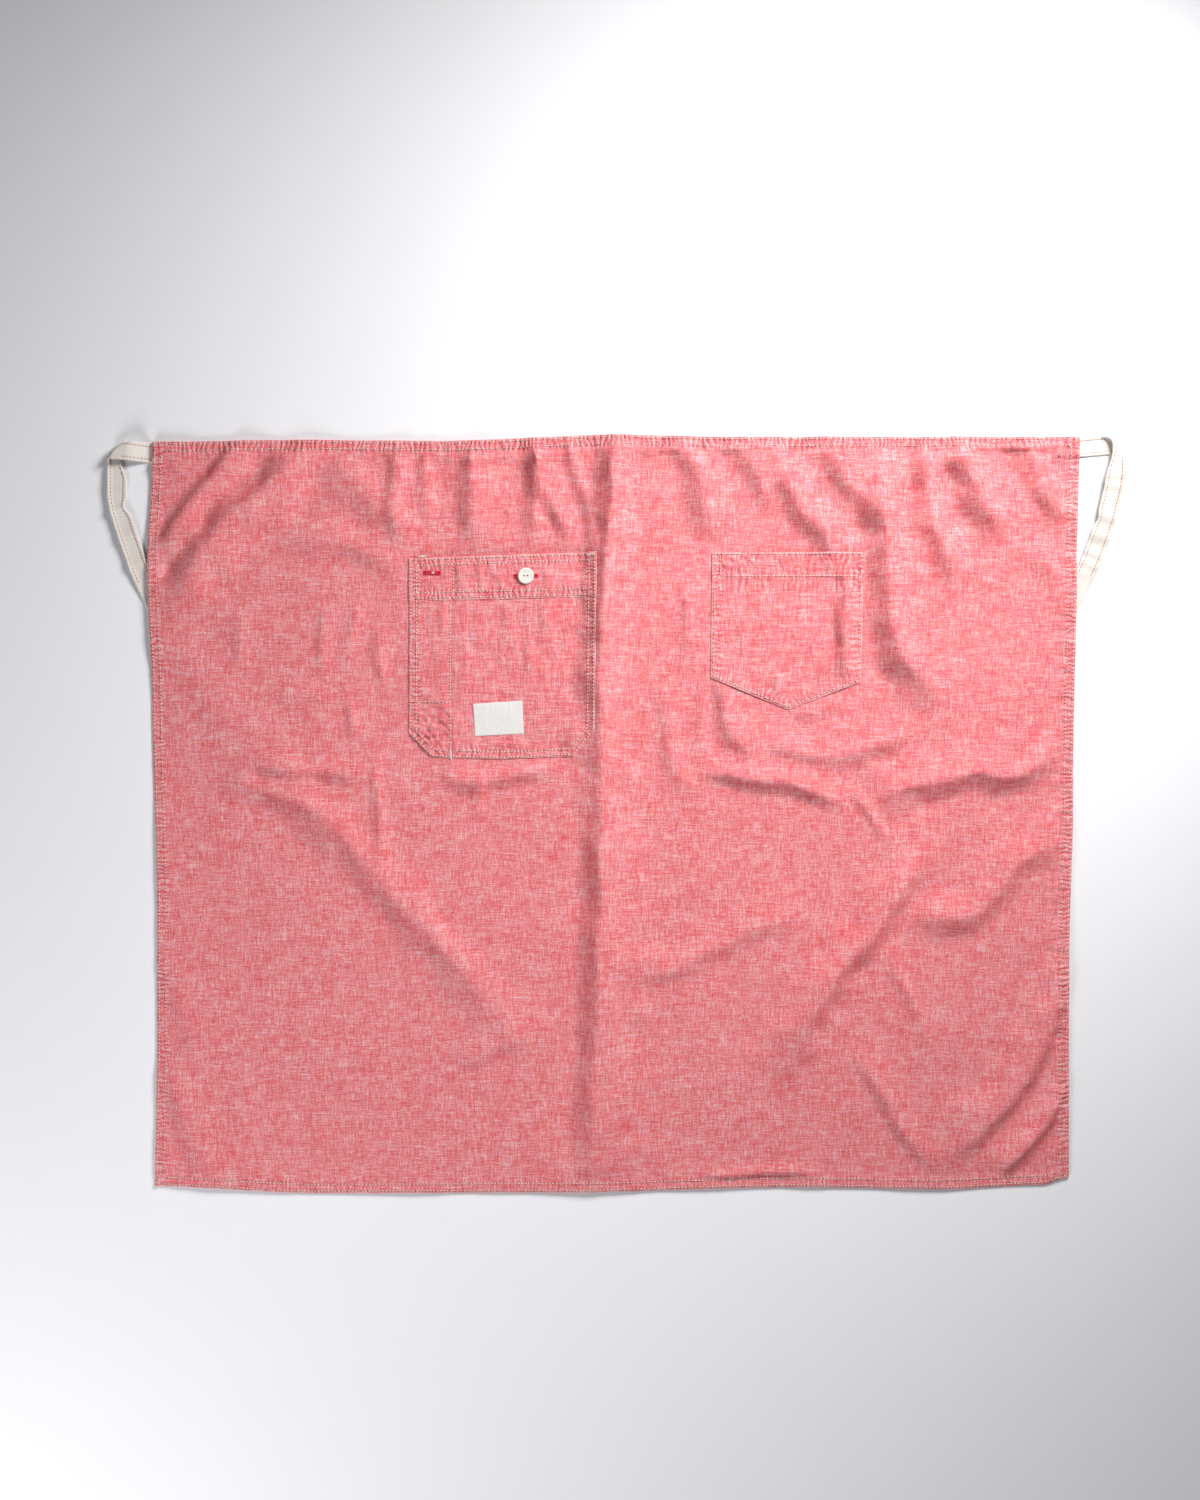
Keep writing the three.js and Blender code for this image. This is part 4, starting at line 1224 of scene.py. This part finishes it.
def threads_piece(name, starts, ends, width, material, sink=STITCH_SINK, slot="cotton_tape"):
    """One piece of short round threads between pairs of points, sunk at both ends."""
    starts = np.asarray(starts, float)
    ends = np.asarray(ends, float)
    middle = (starts + ends) / 2
    half = (ends - starts) / 2
    along = unit(half)
    across = unit(np.cross((0.0, 0.0, 1.0), along))
    over = np.cross(along, across)
    rings = []
    for reach, girth, drop in THREAD_RINGS:
        for k in range(THREAD_SIDES):
            angle = 2 * math.pi * k / THREAD_SIDES
            spot = middle + half * reach + over * (sink * drop)
            rings.append(spot + (across * math.cos(angle) + over * math.sin(angle)) * width * girth / 2)
    points = np.stack(rings, axis=1).reshape(-1, 3)
    size = len(rings)
    shape = [(a, d, c, b) for a, b, c, d in tube_faces(len(THREAD_RINGS), THREAD_SIDES)]
    shape.append(tuple(reversed(range(THREAD_SIDES))))
    shape.append(tuple(range(size - THREAD_SIDES, size)))
    faces = [tuple(n + base for n in face) for base in range(0, len(points), size) for face in shape]
    return add_piece(name, points, faces, material, slot)


def stitch_ends(path, surface, seed):
    """Both ends of each stitch in a row along a path on a surface."""
    line = np.array(path, float)
    run = distances(line)
    long = run[-1]
    count = max(2, round(long / STITCH_PITCH))
    uneven = np.random.default_rng(seed)
    at = (np.arange(count) + 0.5) * long / count + uneven.uniform(-STITCH_STRAY, STITCH_STRAY, count)
    half = STITCH_LENGTH / 2 * uneven.uniform(*STITCH_LENGTHS, count)

    def spot(where):
        x = np.interp(where, run, line[:, 0])
        y = np.interp(where, run, line[:, 1])
        return np.column_stack([x, y, surface(x, y) + STITCH_RAISED])

    return spot(np.clip(at - half, 0.0, long)), spot(np.clip(at + half, 0.0, long))


def stitches(name, rows, material):
    """All the stitches of some rows, and dark threads of painted shade in the holes between them. A row is a
    path and its surface.
    """
    pairs = [stitch_ends(path, surface, seed) for seed, (path, surface) in enumerate(rows)]
    starts = np.vstack([pair[0] for pair in pairs])
    ends = np.vstack([pair[1] for pair in pairs])
    sewn = threads_piece(name, starts, ends, STITCH_WIDTH, material)
    # The holes between the stitches are dark threads that paint the shade where each stitch goes in.
    hole_shade_starts = np.vstack([pair[1][:-1] for pair in pairs]) - [0.0, 0.0, HOLE_SHADE_SINK]
    hole_shade_ends = np.vstack([pair[0][1:] for pair in pairs]) - [0.0, 0.0, HOLE_SHADE_SINK]
    holes = threads_piece(f"{name}_holes", hole_shade_starts, hole_shade_ends, HOLE_SHADE_WIDTH, hole_shade, slot="chambray")
    return sewn, holes


def buttonhole_ends(at, length):
    """Both ends of the close threads round a buttonhole: down both its sides, and across its ends."""
    x, y = at
    pairs = []
    for t in np.arange(-length / 2, length / 2 + BUTTONHOLE_PITCH / 2, BUTTONHOLE_PITCH):
        inner = 0.0 if abs(t) > length / 2 - BUTTONHOLE_BAR else SLIT_HALF
        for side in (-1, 1):
            pairs.append(((x + t, y + side * inner), (x + t, y + side * BUTTONHOLE_WIDTH / 2)))
    return pairs


def tack_ends(at, turn):
    """Both ends of the zigzag threads of a tack."""
    angle = math.radians(turn)
    along = np.array([math.cos(angle), math.sin(angle)])
    across = np.array([-along[1], along[0]])
    lean = along * TACK_LEAN
    pairs = []
    for k in range(TACK_THREADS):
        spot = np.array(at) + along * TACK_LENGTH * (k / (TACK_THREADS - 1) - 0.5)
        pairs.append((spot - across * TACK_WIDTH / 2 - lean, spot + across * TACK_WIDTH / 2 + lean))
    return pairs


def threads_on(name, pairs, surface, material, width, raised):
    """One piece of threads laid on a surface, between pairs of places."""
    def spots(places):
        flat = np.array(places, float)
        return np.column_stack([flat, surface(flat[:, 0], flat[:, 1]) + raised])

    starts = spots([pair[0] for pair in pairs])
    ends = spots([pair[1] for pair in pairs])
    threads_piece(name, starts, ends, width, material)


def inset(outline, distance):
    """A convex outline that runs clockwise, moved in by a distance."""
    corners = np.array(outline, float)
    runs = unit(np.roll(corners, -1, axis=0) - corners)
    inward = np.column_stack([runs[:, 1], -runs[:, 0]])
    moved = []
    for k in range(len(corners)):
        before = runs[k - 1]
        after = runs[k]
        a = corners[k] + inward[k - 1] * distance
        b = corners[k] + inward[k] * distance
        gap = b - a
        t = (gap[0] * after[1] - gap[1] * after[0]) / (before[0] * after[1] - before[1] * after[0])
        moved.append(a + before * t)
    return np.array(moved)


def hem_row(inward):
    """The four rows of stitches at a distance in from the panel's edges."""
    def between(first_edge, last_edge, end):
        first = first_edge[end][1] + inward
        last = last_edge[end][1] - inward
        return np.linspace(first, last, HEM_ROW_POINTS)

    foot = between(LEFT_EDGE, RIGHT_EDGE, 0)
    waist = between(LEFT_EDGE, RIGHT_EDGE, -1)
    left = between(FOOT_EDGE, WAIST_EDGE, 0)
    right = between(FOOT_EDGE, WAIST_EDGE, -1)
    return [
        np.column_stack([waist, edge_out(WAIST_EDGE, waist) - inward]),
        np.column_stack([foot, edge_out(FOOT_EDGE, foot) + inward]),
        np.column_stack([edge_out(LEFT_EDGE, left) + inward, left]),
        np.column_stack([edge_out(RIGHT_EDGE, right) - inward, right]),
    ]


# Materials

def node(tree, kind, inputs=None, **settings):
    """A shader node with its settings, and its inputs set or linked."""
    made = tree.nodes.new(kind)
    for key, value in settings.items():
        setattr(made, key, value)
    for key, value in (inputs or {}).items():
        if isinstance(value, bpy.types.NodeSocket):
            tree.links.new(value, made.inputs[key])
        else:
            made.inputs[key].default_value = value
    return made


def new_material(name, roughness, sheen=0.0, specular=0.2, sheen_roughness=0.6):
    """A material, its tree, its shader, and the place on the object in millimetres."""
    material = bpy.data.materials.new(name)
    material.use_nodes = True
    tree = material.node_tree
    shader = tree.nodes["Principled BSDF"]
    shader.inputs["Roughness"].default_value = roughness
    shader.inputs["Specular IOR Level"].default_value = specular
    shader.inputs["Sheen Weight"].default_value = sheen
    shader.inputs["Sheen Roughness"].default_value = sheen_roughness
    coordinates = node(tree, "ShaderNodeTexCoord").outputs["Object"]
    place = node(tree, "ShaderNodeMapping", {"Vector": coordinates, "Scale": (1 / MM,) * 3})
    return material, tree, shader, place.outputs["Vector"]


def streaks(tree, place, wide, tall, detail=2.0):
    """Noise from 0 to 1 with features of that width and height in millimetres."""
    scale = (1 / wide, 1 / tall, 1 / max(wide, tall))
    scaled = node(tree, "ShaderNodeMapping", {"Vector": place, "Scale": scale})
    inputs = {"Vector": scaled.outputs["Vector"], "Scale": 1.0, "Detail": detail}
    return node(tree, "ShaderNodeTexNoise", inputs).outputs[0]


def arithmetic(tree, operation, *values):
    """The result of a math node on sockets or numbers."""
    return node(tree, "ShaderNodeMath", dict(enumerate(values)), operation=operation).outputs[0]


def weighted(tree, level, terms):
    """A level plus each (socket, weight), counted from the socket's middle of 0.5."""
    total = level
    for socket, weight in terms:
        centred = arithmetic(tree, "SUBTRACT", socket, 0.5)
        total = arithmetic(tree, "MULTIPLY_ADD", centred, weight, total)
    return total


def ramp(tree, factor, stops):
    """Colours at places from 0 to 1."""
    made = node(tree, "ShaderNodeValToRGB", {"Fac": factor})
    band = made.color_ramp.elements
    while len(band) < len(stops):
        band.new(1.0)
    for element, (position, colour) in zip(band, stops):
        element.position = position
        element.color = (*colour, 1.0)
    return made.outputs["Color"]


def set_colour(tree, shader, factor, stops):
    """The shader's colour from a ramp."""
    tree.links.new(ramp(tree, factor, stops), shader.inputs["Base Color"])


def weave_height(tree, place, pitch):
    """Plain weave: rows of bumps that alternate along both yarns."""
    axes = node(tree, "ShaderNodeSeparateXYZ", {"Vector": place})
    waves = [
        arithmetic(tree, "SINE", arithmetic(tree, "MULTIPLY", axes.outputs[k], math.pi / pitch))
        for k in (0, 1)
    ]
    return arithmetic(tree, "MULTIPLY", waves[0], waves[1])


def set_bump(tree, shader, height, distance, strength):
    """Fine relief of the shader's surface, distance in millimetres."""
    bump = node(tree, "ShaderNodeBump", {"Height": height, "Distance": distance * MM, "Strength": strength})
    tree.links.new(bump.outputs["Normal"], shader.inputs["Normal"])


def chambray_material():
    """Red warp and white weft, with the slubs of both and a soft uneven dye."""
    material, tree, shader, place = new_material("red_chambray", roughness=0.92, sheen=0.8)
    shader.inputs["Sheen Tint"].default_value = (1.0, 0.24, 0.24, 1.0)
    weft = streaks(tree, place, wide=11.0, tall=0.7)
    warp = streaks(tree, place, wide=0.75, tall=9.0)
    weft_slub = streaks(tree, place, wide=30.0, tall=1.5)
    warp_slub = streaks(tree, place, wide=1.6, tall=26.0)
    fleck = streaks(tree, place, wide=1.4, tall=1.1, detail=1.0)
    blotch = streaks(tree, place, wide=16.0, tall=12.0)
    weave = weave_height(tree, place, pitch=0.55)
    shade = weighted(tree, 0.5, [
        (weft, 1.2), (warp, 1.2), (weft_slub, 0.6), (warp_slub, 0.55), (fleck, 0.9), (blotch, 0.45),
    ])
    shade = arithmetic(tree, "MULTIPLY_ADD", weave, 0.05, shade)
    # The wear_and_shade attribute: paler at folded edges and on the crests of seam ribs, which is wear, and
    # darker between the ribs, which is painted shade.
    wear_and_shade = node(tree, "ShaderNodeAttribute", attribute_name="wear_and_shade")
    shade = arithmetic(tree, "ADD", shade, wear_and_shade.outputs["Fac"])
    warm = ramp(tree, shade, [
        (0.0, (0.64, 0.075, 0.080)),
        (0.35, (0.70, 0.160, 0.160)),
        (0.6, (0.735, 0.255, 0.250)),
        (1.0, (0.785, 0.50, 0.47)),
    ])
    cool = ramp(tree, shade, [
        (0.0, (0.60, 0.075, 0.105)),
        (0.35, (0.68, 0.160, 0.195)),
        (0.6, (0.725, 0.255, 0.300)),
        (1.0, (0.775, 0.50, 0.54)),
    ])
    tint = weighted(tree, 0.5, [(streaks(tree, place, wide=7.0, tall=1.8), 3.0)])
    mixed = node(tree, "ShaderNodeMix", {0: tint, 6: warm, 7: cool}, data_type="RGBA")
    tree.links.new(mixed.outputs[2], shader.inputs["Base Color"])
    set_bump(tree, shader, weighted(tree, weave, [(weft, 1.2), (warp, 1.2)]), distance=0.12, strength=0.5)
    return material


def tape_material():
    """Off-white cotton tape."""
    material, tree, shader, place = new_material("cotton_tape", roughness=0.9, sheen=0.1)
    yarn = streaks(tree, place, wide=1.0, tall=1.0)
    blotch = streaks(tree, place, wide=14.0, tall=20.0)
    shade = weighted(tree, 0.55, [(yarn, 0.5), (blotch, 0.9)])
    set_colour(tree, shader, shade, [
        (0.0, (0.65, 0.575, 0.51)),
        (0.5, (0.735, 0.685, 0.63)),
        (1.0, (0.77, 0.735, 0.70)),
    ])
    relief = weighted(tree, weave_height(tree, place, pitch=0.7), [(yarn, 1.0)])
    set_bump(tree, shader, relief, distance=0.15, strength=0.5)
    return material


def thread_material(name, dark, light):
    """Cotton thread, a little uneven in colour."""
    material, tree, shader, place = new_material(name, roughness=0.75, sheen=0.1)
    set_colour(tree, shader, streaks(tree, place, wide=3.0, tall=3.0), [(0.25, dark), (0.75, light)])
    set_bump(tree, shader, streaks(tree, place, wide=0.25, tall=0.25), distance=0.1, strength=0.4)
    return material


def label_material():
    """Off-white woven label, with fine yarns that run across it."""
    material, tree, shader, place = new_material("label_cloth", roughness=0.7, sheen=0.05)
    yarn = streaks(tree, place, wide=2.5, tall=0.35)
    set_colour(tree, shader, yarn, [(0.3, (0.72, 0.695, 0.675)), (0.7, (0.82, 0.795, 0.775))])
    set_bump(tree, shader, weave_height(tree, place, pitch=0.4), distance=0.1, strength=0.5)
    return material


def button_material():
    """Pale shell or resin with soft streaks."""
    material, tree, shader, place = new_material("button_shell", roughness=0.32, specular=0.45)
    grain = streaks(tree, place, wide=6.0, tall=2.0)
    set_colour(tree, shader, grain, [(0.25, (0.70, 0.67, 0.60)), (0.7, (0.83, 0.81, 0.76))])
    set_bump(tree, shader, streaks(tree, place, wide=1.5, tall=1.5), distance=0.05, strength=0.3)
    return material


def floor_material():
    """Pale studio paper."""
    material, tree, shader, place = new_material("pale_paper", roughness=0.9)
    cloud = streaks(tree, place, wide=60.0, tall=60.0)
    set_colour(tree, shader, cloud, [(0.3, (0.865, 0.86, 0.89)), (0.7, (0.872, 0.867, 0.897))])
    return material


def add_light(name, place, target, size, power, colour, spread):
    """A square soft light at a place in metres, aimed at a target, its spread in degrees."""
    lamp = bpy.data.lights.new(name, "AREA")
    lamp.shape = "SQUARE"
    lamp.size = size
    lamp.energy = power
    lamp.color = colour
    lamp.spread = math.radians(spread)
    holder = add_object(name, lamp)
    holder.location = place
    aim = Vector(target) - Vector(place)
    holder.rotation_euler = aim.to_track_quat("-Z", "Y").to_euler()


# Finishes

chambray = chambray_material()
tape = tape_material()
shell = button_material()
label_cloth = label_material()
white_thread = thread_material("white_thread", (0.66, 0.48, 0.43), (0.87, 0.74, 0.68))
# hole_shade is painted shade: the dark of the holes where the stitches go into the cloth.
hole_shade = thread_material("hole_shade", (0.24, 0.045, 0.05), (0.40, 0.09, 0.095))
tie_thread = thread_material("tie_thread", (0.36, 0.11, 0.07), (0.52, 0.20, 0.14))
red_thread = thread_material("red_thread", (0.50, 0.004, 0.020), (0.72, 0.012, 0.045))
dark_thread = thread_material("dark_thread", (0.05, 0.025, 0.015), (0.12, 0.06, 0.04))

# The panel and its pockets

panel_wide = RIGHT_EDGE[0][1] - LEFT_EDGE[0][1]
panel_tall = WAIST_EDGE[0][1] - FOOT_EDGE[0][1]
panel = cloth_piece(
    "panel_cloth", panel_place, (panel_marks(panel_wide), panel_marks(panel_tall)),
    panel_top, panel_under, chambray, panel_wear_and_shade,
    field=(len(HEM_MARKS) - 1, FIELD_CELLS), under_step=UNDER_CELLS,
)
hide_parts("apron_panel")

work_pocket = cloth_piece(
    "work_pocket_cloth", pocket_place(WORK_POCKET, WORK_FOOT, WORK_LEVELS), rim_lattice(*WORK_LATTICE),
    work_top, lambda x, y: pocket_base(WORK_POCKET, x, y), chambray, seam_wear_and_shade(WORK_POCKET, WORK_SEED),
)
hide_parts("work_pocket")

band = cloth_piece(
    "work_band_cloth", corners_place(WORK_BAND), rim_lattice(*BAND_LATTICE),
    band_top, band_base, chambray, seam_wear_and_shade(WORK_BAND, BAND_SEED),
)
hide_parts("work_pocket_band")

patch_pocket = cloth_piece(
    "patch_pocket_cloth", pocket_place(PATCH_POCKET, PATCH_FOOT, PATCH_LEVELS), rim_lattice(*PATCH_LATTICE),
    patch_top, lambda x, y: pocket_base(PATCH_POCKET, x, y), chambray, patch_wear_and_shade,
)
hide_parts("patch_pocket")

label = cloth_piece(
    "label_cloth_piece", corners_place(LABEL), rim_lattice(*LABEL_LATTICE),
    label_top, label_base, label_cloth, slot="label_cloth",
)
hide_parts("label")

# Stitch rows

hem_paths = [*hem_row(HEM_ROWS[0]), *hem_row(HEM_ROWS[1]), RIGHT_TIE_ROW]
hem_stitches = stitches("hem_stitches", [(path, panel_top) for path in hem_paths], white_thread)

work_rows = []
for inward in POCKET_ROWS:
    corners = inset(WORK_POCKET, inward)
    work_rows.append((corners[1:], work_top))
    work_rows.append(([corners[-1], corners[0]], work_top))
work_rows.append((PEN_SEAM[2:], work_top))
work_rows.append((PEN_FOOT, work_top))
band_rows = [(PEN_SEAM[:2], band_top)]
for inward in POCKET_ROWS:
    corners = inset(WORK_BAND, inward)
    band_rows.append((corners[:2], band_top))
    band_rows.append((corners[1:3], band_top))
    band_rows.append((corners[[3, 0]], band_top))
for inward in BAND_FOOT_ROWS:
    corners = inset(WORK_BAND, inward)
    band_rows.append((corners[2:], band_top))
work_stitches = stitches("work_pocket_stitches", work_rows + band_rows, white_thread)

patch_corners = inset(PATCH_POCKET, PATCH_ROW)
patch_rows = [(patch_corners[1:], patch_top), ([patch_corners[-1], patch_corners[0]], patch_top)]
for inward in PATCH_HEM_ROWS:
    level = PATCH_POCKET[0][1] - inward
    patch_rows.append(([(end, level) for end in PATCH_HEM_ENDS], patch_top))
patch_rows.append((PATCH_CROSS_ROW, patch_top))
patch_stitches = stitches("patch_pocket_stitches", patch_rows, white_thread)

# Tacks and buttonholes, and a loose end of white thread that shows in the left one

tack_pairs = [pair for at, turn in TACKS for pair in tack_ends(at, turn)]
threads_on("pocket_tacks", tack_pairs, pocket_front, white_thread, *TACK_THREAD)
buttonhole_pairs = [
    *buttonhole_ends(PEN_BUTTONHOLE, PEN_BUTTONHOLE_LENGTH),
    *buttonhole_ends(MAIN_BUTTONHOLE, MAIN_BUTTONHOLE_LENGTH),
]
threads_on("buttonhole_threads", buttonhole_pairs, band_top, red_thread, *BUTTONHOLE_THREAD)
threads_on("slit_thread", SLIT_THREAD, band_top, white_thread, *SLIT_THREAD_SIZE)

# The button and its thread

button = button_piece(shell)
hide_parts("button")
threads_piece("button_thread", *button_thread_ends(), BUTTON_THREAD_WIDTH, dark_thread, sink=0.0)

# Waist ties

for side, tie in TIES.items():
    tape_piece = tie_piece(f"{side}_tie_tape", tie, tape)
    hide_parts(f"waist_tie_{side}")
    tie_stitches = threads_piece(f"{side}_tie_stitches", *tie_stitch_ends(tie), TIE_STITCH_WIDTH, tie_thread)

# Floor, lights, camera

floor_corners = [(x * FLOOR_HALF, y * FLOOR_HALF, 0) for x, y in ((-1, -1), (1, -1), (1, 1), (-1, 1))]
floor_mesh = bpy.data.meshes.new("floor")
floor_mesh.from_pydata(floor_corners, [], [(0, 1, 2, 3)])
floor_mesh.materials.append(floor_material())
floor = add_object("floor", floor_mesh)

add_light(
    "key_light", place=(0.70, 0.97, 0.76), target=(-0.32, -0.40, 0.0), size=0.5, power=12.9,
    colour=(1.0, 0.985, 0.97), spread=108.0,
)
add_light(
    "fill_light", place=(-1.09, -1.60, 0.82), target=(-0.69, -0.50, 0.0), size=0.7, power=19.5,
    colour=(0.97, 0.98, 1.0), spread=150.0,
)

world = bpy.data.worlds.new("studio")
world.use_nodes = True
world.node_tree.nodes["Background"].inputs["Color"].default_value = WORLD_COLOUR
world.node_tree.nodes["Background"].inputs["Strength"].default_value = WORLD_STRENGTH
bpy.context.scene.world = world
bpy.context.scene.view_settings.view_transform = "Standard"

camera_data = bpy.data.cameras.new("camera")
camera_data.lens = LENS
camera_data.sensor_fit = "VERTICAL"
camera_data.sensor_height = SENSOR
camera = add_object("camera", camera_data)
camera.location = (FRAME_MIDDLE[0] * MM, FRAME_MIDDLE[1] * MM, FRAME_TALL * MM * LENS / SENSOR)
bpy.context.scene.camera = camera
